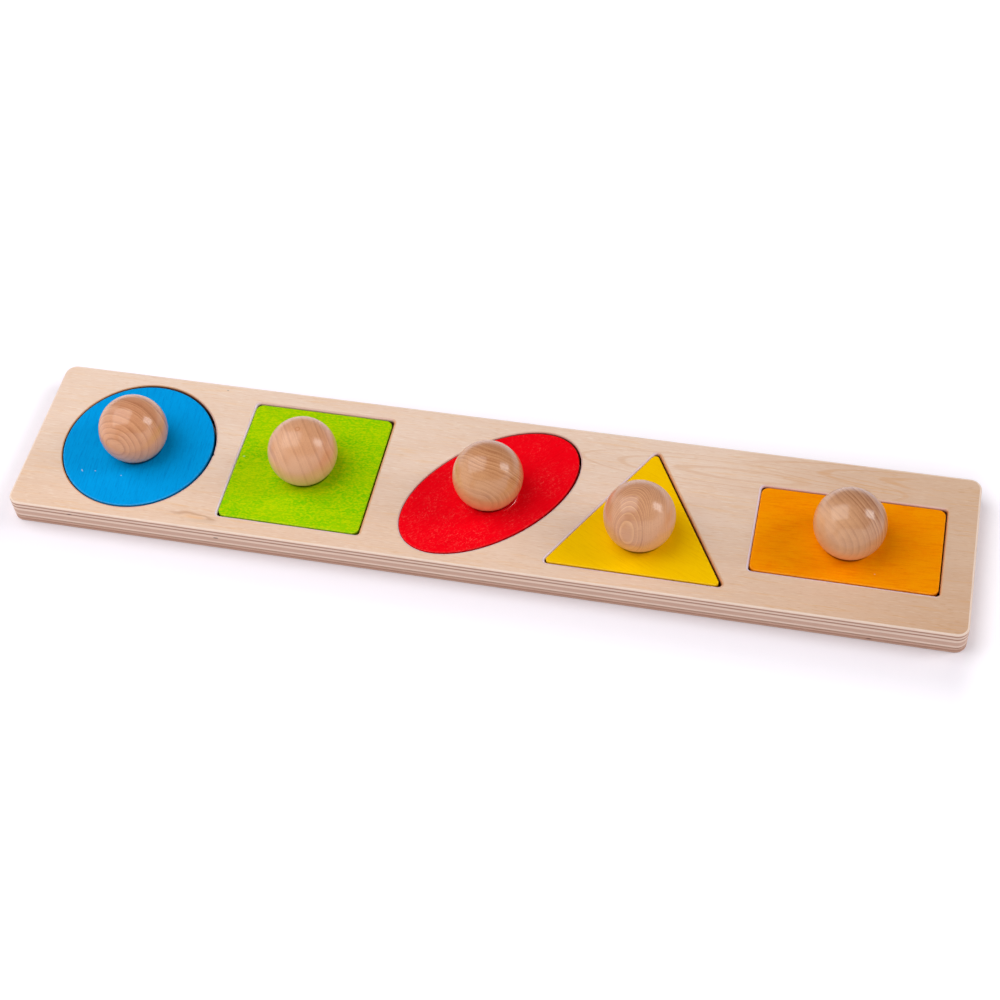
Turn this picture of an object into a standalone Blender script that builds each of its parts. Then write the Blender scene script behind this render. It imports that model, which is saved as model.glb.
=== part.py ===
"""A shape board: a plywood board with five coloured pieces that lift out of it by ball knobs.

All lengths are in metres. The board lies flat. +X runs along it to the right, +Y runs from its front
edge to its back edge, and +Z points up. The origin is the middle of the underside.
"""

import math
from collections import namedtuple

import bmesh
import bpy
from mathutils import Matrix, Vector

# Sheets: the windowed board and the five pieces are cut from one sheet, the base from a thinner one
SHEET_THICKNESS = 0.009
BASE_THICKNESS = 0.003
GLUE_LINE = 0.0003

# Board outline: the length and the width follow from the windows and these margins
LEFT_MARGIN = 0.0137
RIGHT_MARGIN = 0.0128
SIDE_MARGIN = 0.0043
BOARD_CORNER_RADIUS = 0.005

# Distances along the board between the boxes round neighbouring windows
CIRCLE_TO_SQUARE = 0.0112
SQUARE_TO_OVAL = 0.0144
TRIANGLE_UNDER_OVAL = 0.0063
TRIANGLE_TO_RECTANGLE = 0.0085

# Pieces, as wide as their straight sides would reach if the corners were sharp
CIRCLE_DIAMETER = 0.067
SQUARE_SIDE = 0.0625
OVAL_LENGTH = 0.086
OVAL_WIDTH = 0.0495
OVAL_TURN = math.radians(45)
TRIANGLE_SIDE = 0.0744
RECTANGLE_LENGTH = 0.0765
RECTANGLE_WIDTH = 0.0434
PIECE_CORNER_RADIUS = 0.0032
TRIANGLE_CORNER_RADIUS = 0.0017

# Fits
WINDOW_CLEARANCE = 0.0006
TRIANGLE_CLEARANCE = 0.0008
WINDOW_CORNER_RADIUS = 0.0015
SEAT_GAP = 0.0003
KNOB_GAP = 0.0003
SCREW_CLEARANCE = 0.0003

# Rounded edges left by sanding
BOARD_ARRIS = 0.0006
WINDOW_ARRIS = 0.0005
PIECE_ARRIS = 0.0006
BASE_ARRIS = 0.0004

# Ball knobs, with the depth by which the flat is cut into the ball
KNOB_DIAMETER = 0.030
KNOB_CUT = 0.0042
PILOT_SPARE_DEPTH = 0.001

# Countersunk wood screws, driven up through each piece into its knob
SCREW_LENGTH = 0.020
SCREW_DIAMETER = 0.0035
SCREW_HEAD_DIAMETER = 0.007
SCREW_HEAD_LAND = 0.0003
SCREW_HEAD_SINK = 0.0004
SCREW_SHANK_LENGTH = 0.007
SCREW_TIP_LENGTH = 0.0028
THREAD_PITCH = 0.0015
THREAD_DEPTH = 0.00055
RECESS_WIDTH = 0.0042
RECESS_SLOT = 0.0009
RECESS_DEPTH = 0.0019
RECESS_TAPER = 0.4

# Fineness of the curved surfaces
ROUND_STEPS = 64
CORNER_STEPS = 5
ARRIS_STEPS = 2
HOLE_STEPS = 16
KNOB_SEGMENTS = 32
KNOB_RINGS = 14
SCREW_SEGMENTS = 10
ROWS_PER_TURN = 3

# How much of its clearance each piece has slid to the left in its window
CIRCLE_DRIFT = 0.45
SQUARE_DRIFT = 0.15
OVAL_DRIFT = 0.5
TRIANGLE_DRIFT = 0.7
RECTANGLE_DRIFT = 0.3

# Finish of the surfaces
BIRCH = (0.80, 0.62, 0.48)
POPLAR = (0.74, 0.55, 0.41)
BEECH = (0.60, 0.34, 0.21)
STEEL = (0.55, 0.52, 0.45)
BLUE = (0.0, 0.29, 0.72)
GREEN = (0.32, 0.64, 0.0)
RED = (0.85, 0.005, 0.012)
YELLOW = (0.93, 0.55, 0.0)
ORANGE = (0.93, 0.30, 0.0)
WOOD_ROUGHNESS = 0.55
STAIN_ROUGHNESS = 0.45
VARNISH_ROUGHNESS = 0.3
STEEL_ROUGHNESS = 0.35
SHARPEST_SMOOTH_ANGLE = math.radians(35)

# One point of an outline, with the direction that leads straight out of the shape there
Edge = namedtuple("Edge", "point normal")

# One shape of the set: outline(grow, corner) draws it, and turn swings it about its middle
Shape = namedtuple("Shape", "name outline turn corner gap clearance drift colour")


def direction(angle):
    return Vector((math.cos(angle), math.sin(angle)))


def round_outline(radius_x, radius_y, grow, steps):
    """A circle or an ellipse, moved outwards by grow along its own normals."""
    outline = []
    for step in range(steps):
        angle = 2 * math.pi * step / steps
        point = Vector((radius_x * math.cos(angle), radius_y * math.sin(angle)))
        normal = Vector((radius_y * math.cos(angle), radius_x * math.sin(angle))).normalized()
        outline.append(Edge(point + normal * grow, normal))
    return outline


def cornered_outline(corners, radius):
    """A convex polygon whose corners, given anticlockwise, are rounded by arcs of this radius."""
    outline = []
    for index, corner in enumerate(corners):
        before = (corners[index - 1] - corner).normalized()
        after = (corners[(index + 1) % len(corners)] - corner).normalized()
        half_angle = before.angle(after) / 2
        centre = corner + (before + after).normalized() * radius / math.sin(half_angle)
        sweep = math.pi - 2 * half_angle
        first = math.atan2(-before.x, before.y)
        for step in range(CORNER_STEPS + 1):
            normal = direction(first + sweep * (step / CORNER_STEPS) + math.pi)
            outline.append(Edge(centre + normal * radius, normal))
    return outline


def box_corners(length, width):
    x, y = length / 2, width / 2
    return [Vector((x, y)), Vector((-x, y)), Vector((-x, -y)), Vector((x, -y))]


def triangle_corners(side):
    """An equilateral triangle about its centroid, with one corner pointing along +Y."""
    reach = side / math.sqrt(3)
    return [direction(math.radians(angle)) * reach for angle in (90, 210, 330)]


def circle_outline(grow, corner):
    return round_outline(CIRCLE_DIAMETER / 2, CIRCLE_DIAMETER / 2, grow, ROUND_STEPS)


def square_outline(grow, corner):
    side = SQUARE_SIDE + 2 * grow
    return cornered_outline(box_corners(side, side), corner)


def oval_outline(grow, corner):
    return round_outline(OVAL_LENGTH / 2, OVAL_WIDTH / 2, grow, ROUND_STEPS)


def triangle_outline(grow, corner):
    side = TRIANGLE_SIDE + 2 * math.sqrt(3) * grow
    return cornered_outline(triangle_corners(side), corner)


def rectangle_outline(grow, corner):
    corners = box_corners(RECTANGLE_LENGTH + 2 * grow, RECTANGLE_WIDTH + 2 * grow)
    return cornered_outline(corners, corner)


# From left to right, each with its gap to the window before it
SHAPES = (
    Shape(
        name="circle",
        outline=circle_outline,
        turn=0.0,
        corner=0.0,
        gap=LEFT_MARGIN,
        clearance=WINDOW_CLEARANCE,
        drift=CIRCLE_DRIFT,
        colour=BLUE,
    ),
    Shape(
        name="square",
        outline=square_outline,
        turn=0.0,
        corner=PIECE_CORNER_RADIUS,
        gap=CIRCLE_TO_SQUARE,
        clearance=WINDOW_CLEARANCE,
        drift=SQUARE_DRIFT,
        colour=GREEN,
    ),
    Shape(
        name="oval",
        outline=oval_outline,
        turn=OVAL_TURN,
        corner=0.0,
        gap=SQUARE_TO_OVAL,
        clearance=WINDOW_CLEARANCE,
        drift=OVAL_DRIFT,
        colour=RED,
    ),
    Shape(
        name="triangle",
        outline=triangle_outline,
        turn=0.0,
        corner=TRIANGLE_CORNER_RADIUS,
        gap=-TRIANGLE_UNDER_OVAL,
        clearance=TRIANGLE_CLEARANCE,
        drift=TRIANGLE_DRIFT,
        colour=YELLOW,
    ),
    Shape(
        name="rectangle",
        outline=rectangle_outline,
        turn=0.0,
        corner=PIECE_CORNER_RADIUS,
        gap=TRIANGLE_TO_RECTANGLE,
        clearance=WINDOW_CLEARANCE,
        drift=RECTANGLE_DRIFT,
        colour=ORANGE,
    ),
)


def placed(outline, turn, place):
    """The outline swung by turn about its middle and then moved to this place."""
    swing = Matrix.Rotation(turn, 2)
    return [Edge(swing @ edge.point + place, swing @ edge.normal) for edge in outline]


def span(outline, axis):
    """The lowest and the highest coordinate of an outline along one axis."""
    values = [edge.point[axis] for edge in outline]
    return min(values), max(values)


def window_outline(shape, place=Vector((0, 0))):
    outline = shape.outline(shape.clearance, WINDOW_CORNER_RADIUS)
    return placed(outline, shape.turn, place)


def lay_out():
    """The board's length and width and each shape's place, from the windows and the margins."""
    reach = 0.0
    widest = 0.0
    starts = []
    for shape in SHAPES:
        outline = window_outline(shape)
        left, right = span(outline, 0)
        front, back = span(outline, 1)
        start = reach + shape.gap
        starts.append(Vector((start - left, -(front + back) / 2)))
        reach = start + right - left
        widest = max(widest, back - front)
    length = reach + RIGHT_MARGIN
    width = widest + 2 * SIDE_MARGIN
    places = {shape.name: start - Vector((length / 2, 0)) for shape, start in zip(SHAPES, starts)}
    return length, width, places


def clear_scene():
    for old in list(bpy.data.objects):
        bpy.data.objects.remove(old, do_unlink=True)


def make_material(name, colour, roughness, metallic=0.0):
    material = bpy.data.materials.new(name)
    material.use_nodes = True
    shader = material.node_tree.nodes["Principled BSDF"]
    shader.inputs["Base Color"].default_value = (*colour, 1.0)
    shader.inputs["Roughness"].default_value = roughness
    shader.inputs["Metallic"].default_value = metallic
    return material


def make_object(name, bm, material, parent=None, location=(0, 0, 0), turn=0.0):
    """Turns a closed bmesh into a named object with smooth round faces and crisp edges."""
    bmesh.ops.recalc_face_normals(bm, faces=bm.faces)
    mesh = bpy.data.meshes.new(name)
    bm.to_mesh(mesh)
    bm.free()
    mesh.shade_smooth()
    mesh.set_sharp_from_angle(angle=SHARPEST_SMOOTH_ANGLE)
    mesh.materials.append(material)
    made = bpy.data.objects.new(name, mesh)
    made.parent = parent
    made.location = location
    made.rotation_euler.z = turn
    bpy.context.scene.collection.objects.link(made)
    return made


def ring(bm, outline, inset, height):
    """One loop of points: the outline drawn in by inset, at this height."""
    loop = []
    for edge in outline:
        point = edge.point - edge.normal * inset
        loop.append(bm.verts.new((point.x, point.y, height)))
    return loop


def band(bm, loop, next_loop):
    """A strip of four-sided faces between two loops of the same count."""
    for index in range(len(loop)):
        bm.faces.new((loop[index - 1], loop[index], next_loop[index], next_loop[index - 1]))


def bands(bm, loops):
    for loop, next_loop in zip(loops, loops[1:]):
        band(bm, loop, next_loop)


def fill(bm, loops):
    """Closes the flat region between the first loop and the loops inside it."""
    edges = []
    for loop in loops:
        edges += [bm.edges.get((loop[index - 1], loop[index])) for index in range(len(loop))]
    bmesh.ops.triangle_fill(bm, edges=edges, use_beauty=True, use_dissolve=False)


def edge_profile(thickness, lower_arris, upper_arris):
    """Insets and heights up a wall whose two edges are rounded over; an arris of 0 stays square."""
    profile = []
    for arris, height, way in ((lower_arris, 0.0, 1), (upper_arris, thickness, -1)):
        steps = ARRIS_STEPS if arris else 0
        curve = []
        for step in range(steps + 1):
            angle = (math.pi / 2) * (step / steps if steps else 1)
            inset = arris * (1 - math.sin(angle))
            curve.append((inset, height + way * arris * (1 - math.cos(angle))))
        profile += curve if way > 0 else curve[::-1]
    return profile


def make_frame_board(length, width, places):
    """The thick sheet with its five windows, each rounded over at its upper rim."""
    bm = bmesh.new()
    bottom = BASE_THICKNESS + GLUE_LINE
    outer = cornered_outline(box_corners(length, width), BOARD_CORNER_RADIUS)
    wall = edge_profile(SHEET_THICKNESS, 0.0, BOARD_ARRIS)
    walls = [[ring(bm, outer, inset, bottom + height) for inset, height in wall]]
    for shape in SHAPES:
        window = window_outline(shape, places[shape.name])
        rim = edge_profile(SHEET_THICKNESS, 0.0, WINDOW_ARRIS)
        walls.append([ring(bm, window, -inset, bottom + height) for inset, height in rim])
    for loops in walls:
        bands(bm, loops)
    fill(bm, [loops[0] for loops in walls])
    fill(bm, [loops[-1] for loops in walls])
    return make_object("frame_board", bm, make_material("birch face", BIRCH, WOOD_ROUGHNESS))


def make_base_board(length, width):
    """The thin sheet glued under the windows, which the pieces stand on."""
    bm = bmesh.new()
    outer = cornered_outline(box_corners(length, width), BOARD_CORNER_RADIUS)
    wall = edge_profile(BASE_THICKNESS, BASE_ARRIS, 0.0)
    loops = [ring(bm, outer, inset, height) for inset, height in wall]
    bands(bm, loops)
    fill(bm, [loops[0]])
    fill(bm, [loops[-1]])
    return make_object("base_board", bm, make_material("base sheet", POPLAR, WOOD_ROUGHNESS))


def countersink_profile():
    """Radii and heights up the screw hole of a piece, from its underside to its top."""
    mouth = SCREW_HEAD_DIAMETER / 2 + SCREW_CLEARANCE
    bore = SCREW_DIAMETER / 2 + SCREW_CLEARANCE
    seat = SCREW_HEAD_SINK + SCREW_HEAD_LAND
    return [(mouth, 0.0), (mouth, seat), (bore, seat + mouth - bore), (bore, SHEET_THICKNESS)]


def make_piece(shape, lift):
    """One coloured piece, with a countersunk screw hole up its middle."""
    bm = bmesh.new()
    outline = shape.outline(0.0, shape.corner)
    wall = edge_profile(SHEET_THICKNESS, PIECE_ARRIS, PIECE_ARRIS)
    outside = [ring(bm, outline, inset, height) for inset, height in wall]
    inside = []
    for radius, height in countersink_profile():
        inside.append(ring(bm, round_outline(radius, radius, 0.0, HOLE_STEPS), 0.0, height))
    bands(bm, outside)
    bands(bm, inside)
    fill(bm, [outside[0], inside[0]])
    fill(bm, [outside[-1], inside[-1]])
    material = make_material(f"{shape.name} stain", shape.colour, STAIN_ROUGHNESS)
    return make_object(f"{shape.name}_piece", bm, material, lift, turn=shape.turn)


def turned(bm, rows, segments):
    """A body of revolution about Z. Each row is its height and its radius at an angle, or a pole."""
    loops = []
    for height, radius_at in rows:
        if radius_at is None:
            loops.append([bm.verts.new((0, 0, height))])
            continue
        loop = []
        for segment in range(segments):
            angle = 2 * math.pi * segment / segments
            point = direction(angle) * radius_at(angle)
            loop.append(bm.verts.new((point.x, point.y, height)))
        loops.append(loop)
    for loop, next_loop in zip(loops, loops[1:]):
        if len(loop) == len(next_loop):
            band(bm, loop, next_loop)
            continue
        pole, rim = sorted((loop, next_loop), key=len)
        for index in range(segments):
            bm.faces.new((rim[index - 1], rim[index], pole[0]))


def steady(radius):
    """A radius that is the same at every angle."""
    return lambda angle: radius


def screw_tip_height():
    """Where the screw ends above the underside of its piece."""
    return SCREW_HEAD_SINK + SCREW_LENGTH


def make_knob(shape, lift):
    """A ball with a flat cut under it and a blind pilot hole up its middle for the screw."""
    bm = bmesh.new()
    radius = KNOB_DIAMETER / 2
    centre = radius - KNOB_CUT
    flat_height = SHEET_THICKNESS + KNOB_GAP
    last_angle = math.acos(-centre / radius)
    rows = [(centre + radius, None)]
    for ring_number in range(1, KNOB_RINGS + 1):
        angle = last_angle * ring_number / KNOB_RINGS
        rows.append((centre + radius * math.cos(angle), steady(radius * math.sin(angle))))
    pilot = steady(SCREW_DIAMETER / 2 + SCREW_CLEARANCE)
    pilot_end = screw_tip_height() + PILOT_SPARE_DEPTH - flat_height
    rows += [(0.0, pilot), (pilot_end, pilot), (pilot_end, None)]
    turned(bm, rows, KNOB_SEGMENTS)
    material = make_material(f"{shape.name} knob varnish", BEECH, VARNISH_ROUGHNESS)
    return make_object(f"{shape.name}_knob", bm, material, lift, (0, 0, flat_height))


def thread_radius(height):
    """The radius of the screw thread at this height: one ridge that climbs a pitch in each turn."""
    outer = SCREW_DIAMETER / 2

    def radius_at(angle):
        phase = (height / THREAD_PITCH - angle / (2 * math.pi)) % 1.0
        return outer - THREAD_DEPTH * abs(2 * phase - 1)

    return radius_at


def make_screw_body():
    """The screw from the flat of its head, at height 0, to its point."""
    bm = bmesh.new()
    head = SCREW_HEAD_DIAMETER / 2
    shank = SCREW_DIAMETER / 2
    thread_end = SCREW_LENGTH - SCREW_TIP_LENGTH
    rows = [(0.0, None), (0.0, steady(head)), (SCREW_HEAD_LAND, steady(head))]
    rows.append((SCREW_HEAD_LAND + head - shank, steady(shank)))
    rows.append((SCREW_SHANK_LENGTH, steady(shank)))
    row_count = round((thread_end - SCREW_SHANK_LENGTH) / THREAD_PITCH * ROWS_PER_TURN)
    for row in range(1, row_count + 1):
        height = SCREW_SHANK_LENGTH + (thread_end - SCREW_SHANK_LENGTH) * row / row_count
        rows.append((height, thread_radius(height)))
    rows.append((SCREW_LENGTH, None))
    turned(bm, rows, SCREW_SEGMENTS)
    return bm


def make_recess_cutter(name, lift, height):
    """The tapered cross that a screwdriver's tip fits, reaching up into the head from below it."""
    bm = bmesh.new()
    arm, slot = RECESS_WIDTH / 2, RECESS_SLOT / 2
    quarter = [Vector((arm, -slot)), Vector((arm, slot)), Vector((slot, slot))]
    loops = []
    for level, scale in ((-RECESS_DEPTH, 2 - RECESS_TAPER), (RECESS_DEPTH, RECESS_TAPER)):
        corners = []
        for turn in range(4):
            corners += [Matrix.Rotation(math.pi / 2 * turn, 2) @ corner for corner in quarter]
        loops.append([bm.verts.new((corner.x * scale, corner.y * scale, level)) for corner in corners])
    bands(bm, loops)
    fill(bm, [loops[0]])
    fill(bm, [loops[-1]])
    cutter = make_object(name, bm, make_material("cutter", STEEL, STEEL_ROUGHNESS), lift, (0, 0, height))
    cutter.hide_render = True
    cutter.display_type = "WIRE"
    return cutter


def make_screw(shape, lift):
    """A countersunk screw with a cross recess, its head sunk into the underside of the piece."""
    material = make_material(f"{shape.name} screw zinc", STEEL, STEEL_ROUGHNESS, 1.0)
    place = (0, 0, SCREW_HEAD_SINK)
    screw = make_object(f"{shape.name}_screw", make_screw_body(), material, lift, place)
    cut = screw.modifiers.new("cross recess", "BOOLEAN")
    cut.operation = "DIFFERENCE"
    cut.object = make_recess_cutter(f"{shape.name}_recess_cutter", lift, SCREW_HEAD_SINK)
    return screw


def make_lift(shape, place):
    """An empty on the line that a piece is lifted along, at the underside of the seated piece."""
    lift = bpy.data.objects.new(f"{shape.name}_lift", None)
    drift = shape.drift * shape.clearance
    lift.location = (place.x - drift, place.y, BASE_THICKNESS + SEAT_GAP)
    bpy.context.scene.collection.objects.link(lift)
    return lift


def main():
    clear_scene()
    length, width, places = lay_out()
    make_frame_board(length, width, places)
    make_base_board(length, width)
    for shape in SHAPES:
        lift = make_lift(shape, places[shape.name])
        make_piece(shape, lift)
        make_knob(shape, lift)
        make_screw(shape, lift)
        x, y, z = lift.location
        print(f"{shape.name}: knob axis at x {x:.5f}, y {y:.5f}, underside at z {z:.5f}")
    print(f"board: {length:.5f} long, {width:.5f} wide")


main()
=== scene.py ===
# %% [markdown]
# A shape board is a plywood board for a small child. Five coloured shapes lie in windows of the same
# outline, and each lifts straight out by a wooden ball. The CAD model has fixed the places and nearly all
# the sizes. This lesson gives its parts a finer surface and real wood: veneer grain, sawn plies, water
# stain, turned balls under varnish. Only the gaps and rims of the windows are set anew here, by less than
# a millimetre. First comes the frame, which also says which parts move together.

# %% Load the frame
import math

import bpy
import numpy as np
from mathutils import Matrix, Vector
from mathutils.geometry import tessellate_polygon


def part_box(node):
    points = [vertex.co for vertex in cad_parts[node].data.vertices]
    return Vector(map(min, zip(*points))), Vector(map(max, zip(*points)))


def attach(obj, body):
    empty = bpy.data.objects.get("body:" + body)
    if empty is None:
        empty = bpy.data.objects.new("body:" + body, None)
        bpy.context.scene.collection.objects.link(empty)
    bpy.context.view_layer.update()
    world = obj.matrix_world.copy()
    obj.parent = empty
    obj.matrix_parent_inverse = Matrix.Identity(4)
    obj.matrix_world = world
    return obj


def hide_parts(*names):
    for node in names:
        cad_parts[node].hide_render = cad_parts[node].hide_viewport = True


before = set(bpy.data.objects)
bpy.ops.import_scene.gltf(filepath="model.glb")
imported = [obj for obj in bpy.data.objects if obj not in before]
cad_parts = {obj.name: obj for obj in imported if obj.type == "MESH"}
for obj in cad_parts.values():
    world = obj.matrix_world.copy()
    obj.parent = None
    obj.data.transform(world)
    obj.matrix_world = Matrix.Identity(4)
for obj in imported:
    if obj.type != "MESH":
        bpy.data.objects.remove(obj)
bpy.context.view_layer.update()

# %% [markdown]
# A product picture is taken with a long lens from above. The camera's place and the direction that it
# looks in are real lengths and angles here. Its slight lean to one side is a last turn about its own axis,
# which is why the quaternion for the direction comes first and the lean is multiplied on after it.

# %% Camera
CAMERA_PLACE = Vector((0.15441, -0.48192, 0.66118))
CAMERA_DIRECTION = Vector((-0.18012, 0.58362, -0.79180))
CAMERA_LEAN = math.radians(-6.071)
CAMERA_LENS = 69.443
SENSOR_WIDTH = 36.0

camera_data = bpy.data.cameras.new("camera")
camera_data.lens = CAMERA_LENS
camera_data.sensor_width = SENSOR_WIDTH
camera = bpy.data.objects.new("camera", camera_data)
bpy.context.scene.collection.objects.link(camera)
aim = CAMERA_DIRECTION.to_track_quat("-Z", "Y").to_matrix().to_4x4()
camera.matrix_world = Matrix.Translation(CAMERA_PLACE) @ aim @ Matrix.Rotation(CAMERA_LEAN, 4, "Z")
bpy.context.scene.camera = camera
print("camera height in metres:", round(camera.location.z, 3))

# %% [markdown]
# The board lies in a bright studio. Two softboxes show as soft windows in the varnish of the balls: a broad
# one on the left, and a small, bright one far off on the right. White walls on the left, on the right and
# in front throw light in from low down, so that edges and the balls' sides are as bright as the face. An
# area lamp's power is its brightness times pi times its area, so brightness is what is set here, where 1
# is a white sheet in full light. All of it adds up to about 1 in the middle of the board.

# %% Lamps and room
BOARD_MIDDLE = Vector((0.0, 0.0, 0.012))
ROOM_LIGHT = 0.14


def add_softbox(name, place, width, height, brightness):
    """An area lamp of this size that faces the middle of the board. Power = brightness x pi x area."""
    data = bpy.data.lights.new(name, "AREA")
    data.shape = "RECTANGLE"
    data.size = width
    data.size_y = height
    data.energy = brightness * math.pi * width * height
    lamp = bpy.data.objects.new(name, data)
    lamp.location = place
    lamp.rotation_mode = "QUATERNION"
    lamp.rotation_quaternion = (BOARD_MIDDLE - Vector(place)).to_track_quat("-Z", "Y")
    lamp.visible_camera = False
    bpy.context.scene.collection.objects.link(lamp)
    print(name, "power in watts:", round(data.energy, 2))


add_softbox("broad softbox", (-0.62, 0.0, 1.09), 1.15, 1.25, 2.45)
add_softbox("bright softbox", (2.8, 0.8, 1.92), 1.3, 1.7, 5.6)
add_softbox("left wall", (-2.1, -0.2, 0.75), 3.8, 1.5, 0.9)
add_softbox("front wall", (0.35, -1.9, 0.65), 3.2, 1.3, 0.95)
add_softbox("right wall", (2.2, -0.6, 0.5), 2.4, 1.0, 1.2)

bpy.context.scene.view_settings.view_transform = "Standard"

# %% [markdown]
# Every finish is a tree of shader nodes, and most of it is arithmetic on masks. Written out node by node
# that is hard to read, so one small class wraps a socket and overloads the operators: an expression such
# as 1 - mask adds its Math nodes. A second class holds one material's tree, and its node method adds any
# other node, with the node's settings first and then the values or links of its sockets.

# %% Shader arithmetic
PATCH_ROUGHNESS = 0.55


class Signal:
    """One socket of a shader tree. Arithmetic on it adds Math nodes to that tree."""

    def __init__(self, finish, socket):
        self.finish = finish
        self.socket = socket

    def math(self, operation, *others):
        """Arithmetic that starts from this value."""
        return self.finish.math(operation, self, *others)

    def __add__(self, other):
        return self.math("ADD", other)

    def __sub__(self, other):
        return self.math("SUBTRACT", other)

    def __rsub__(self, other):
        return self.finish.math("SUBTRACT", other, self)

    def __mul__(self, other):
        return self.math("MULTIPLY", other)

    def __truediv__(self, other):
        return self.math("DIVIDE", other)

    __radd__ = __add__
    __rmul__ = __mul__


def set_stops(color_ramp, stops):
    """Puts stops on a new ramp, which has two to begin with. Each is a place from 0 to 1 and a colour."""
    for number, (place, colour) in enumerate(stops):
        stop = color_ramp.elements[number] if number < 2 else color_ramp.elements.new(1.0)
        stop.position = place
        stop.color = colour


class Finish:
    """The node tree of one material. The keywords set plain values on the shader's own sockets."""

    def __init__(self, name, **sockets):
        self.material = bpy.data.materials.new(name)
        self.material.use_nodes = True
        self.tree = self.material.node_tree
        self.shader = self.tree.nodes["Principled BSDF"]
        for socket, value in sockets.items():
            self.shader.inputs[socket.replace("_", " ").title().replace("Ior", "IOR")].default_value = value
        self.place = self.node("ShaderNodeTexCoord", output="Object")

    def feed(self, socket, value):
        """Links a signal to a socket, or sets a plain value on it."""
        if isinstance(value, Signal):
            self.tree.links.new(value.socket, socket)
        else:
            socket.default_value = value

    def node(self, kind, settings=None, sockets=None, output=0):
        """A new node: first its settings, a ramp's stops too, and then its sockets' values or links."""
        made = self.tree.nodes.new(kind)
        for setting, value in (settings or {}).items():
            if setting == "stops":
                set_stops(made.color_ramp, value)
            else:
                setattr(made, setting, value)
        for key, value in (sockets or {}).items():
            self.feed(made.inputs[key], value)
        return Signal(self, made.outputs[output])

    def math(self, operation, *values):
        """Arithmetic on one to three values."""
        return self.node("ShaderNodeMath", {"operation": operation}, dict(enumerate(values)))

    def vector(self, operation, *values, output="Vector"):
        """Arithmetic on vectors."""
        return self.node("ShaderNodeVectorMath", {"operation": operation}, dict(enumerate(values)), output)

    def length(self, vector):
        """How long a vector is."""
        return self.vector("LENGTH", vector, output="Value")

    def along(self, axis, centre=(0.0, 0.0, 0.0)):
        """How far a point lies along this direction from the centre, in metres."""
        offset = self.vector("SUBTRACT", self.place, centre)
        return self.vector("DOT_PRODUCT", offset, axis, output="Value")

    def mapped(self, centre, turn, size, place=None):
        """The place counted from a centre, along turned axes, with this size as 1."""
        turned = {"Vector": place or self.place, "Location": centre, "Rotation": (0, 0, turn), "Scale": size}
        return self.node("ShaderNodeMapping", {"vector_type": "TEXTURE"}, turned)

    def patches(self, size, turn=0.0, centre=(0.0, 0.0, 0.0), detail=2.0, place=None):
        """Soft random values from -1 to 1. Size is one patch in metres, and turn swings the grain."""
        spot = self.mapped(centre, turn, size, place)
        noise = {"Vector": spot, "Scale": 1.0, "Detail": detail, "Roughness": PATCH_ROUGHNESS}
        return self.node("ShaderNodeTexNoise", None, noise) * 4.0 - 2.0

    def rise(self, signal, low, high):
        """0 below low, 1 above high, and a smooth step between."""
        ends = {"Value": signal, "From Min": low, "From Max": high}
        return self.node("ShaderNodeMapRange", {"interpolation_type": "SMOOTHSTEP"}, ends)

    def ramp(self, signal, stops):
        """A colour that runs through these stops, each a value of the signal and a colour."""
        first = stops[0][0]
        span = stops[-1][0] - first
        shares = [((value - first) / span, colour) for value, colour in stops]
        return self.node("ShaderNodeValToRGB", {"stops": shares}, {0: (signal - first) / span})

    def painted(self, name):
        """A value that was written on the mesh, point by point."""
        return self.node("ShaderNodeAttribute", {"attribute_name": name}, output="Fac")

    def spot(self, centre, length, width, turn=0.0):
        """1 on a small oval mark on a level face, soft at its edge, and 0 round it."""
        flat = self.vector("MULTIPLY", self.mapped(centre, turn, (length, width, 1.0)), (2.0, 2.0, 0.0))
        return 1 - self.rise(self.length(flat), 0.5, 1.2)

    def mix(self, amount, below, above, blend="MIX"):
        """One colour over another."""
        colours = {0: amount, 6: below, 7: above}
        kind = {"data_type": "RGBA", "blend_type": blend}
        return self.node("ShaderNodeMix", kind, colours, output=2)

    def wave(self, signal):
        """A sine wave from 0 to 1 that repeats with every 1 of the signal."""
        return (signal * (2 * math.pi)).math("SINE") * 0.5 + 0.5

    def bump(self, height, depth):
        """A relief of this depth in metres, which the light picks out."""
        relief = self.node("ShaderNodeBump", None, {"Height": height, "Distance": depth, "Strength": 1.0})
        self.feed(self.shader.inputs["Normal"], relief)

    def colour(self, colour):
        self.feed(self.shader.inputs["Base Color"], colour)

    def rough(self, roughness):
        self.feed(self.shader.inputs["Roughness"], roughness)


def paint(red, green, blue):
    """A colour as a screen shows it, 0 to 255, as the linear numbers that a shader takes."""
    shares = np.array([red, green, blue]) / 255
    linear = np.where(shares <= 0.04045, shares / 12.92, ((shares + 0.055) / 1.055) ** 2.4)
    return (*linear.tolist(), 1.0)


print("mid grey as linear light:", round(paint(128, 128, 128)[0], 3))

# %% [markdown]
# The board stands on a white sheet that runs off to white on every side, with only its own soft shadow
# close to it. A white paint alone would grey off with distance from the lamps. So what the camera and
# reflections see gets a glow of its own on top. It is weakest at the board, so that the shadow stays, and
# it rises three times: just outside the shadow, over the sheet, and towards the horizon. It never lights
# the board, because it is switched on for camera, glossy and transmission rays only, and for glossy rays
# in part, so that the varnish on the balls doesn't look milky.

# %% Floor and background
FLOOR_RADIUS = 30.0
FLOOR_FIRST_RING = 0.002
FLOOR_RINGS = 40
FLOOR_SIDES = 96
FLOOR_WHITE = 0.88
FLOOR_MIRRORED = 0.6
ROOM_MIRRORED = 0.2
GLOW_AT_BOARD = 0.09
GLOW_RISES = ((0.0, 1.0, 0.38), (10.0, 55.0, 0.75), (30.0, 110.0, 0.95))
GLOW_REACH = (0.018, 0.034, 1.0)
GLOW_TINT = paint(255, 252, 253)
SHADOW_SIDE = (-0.005, -0.006, 0.0)


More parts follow.
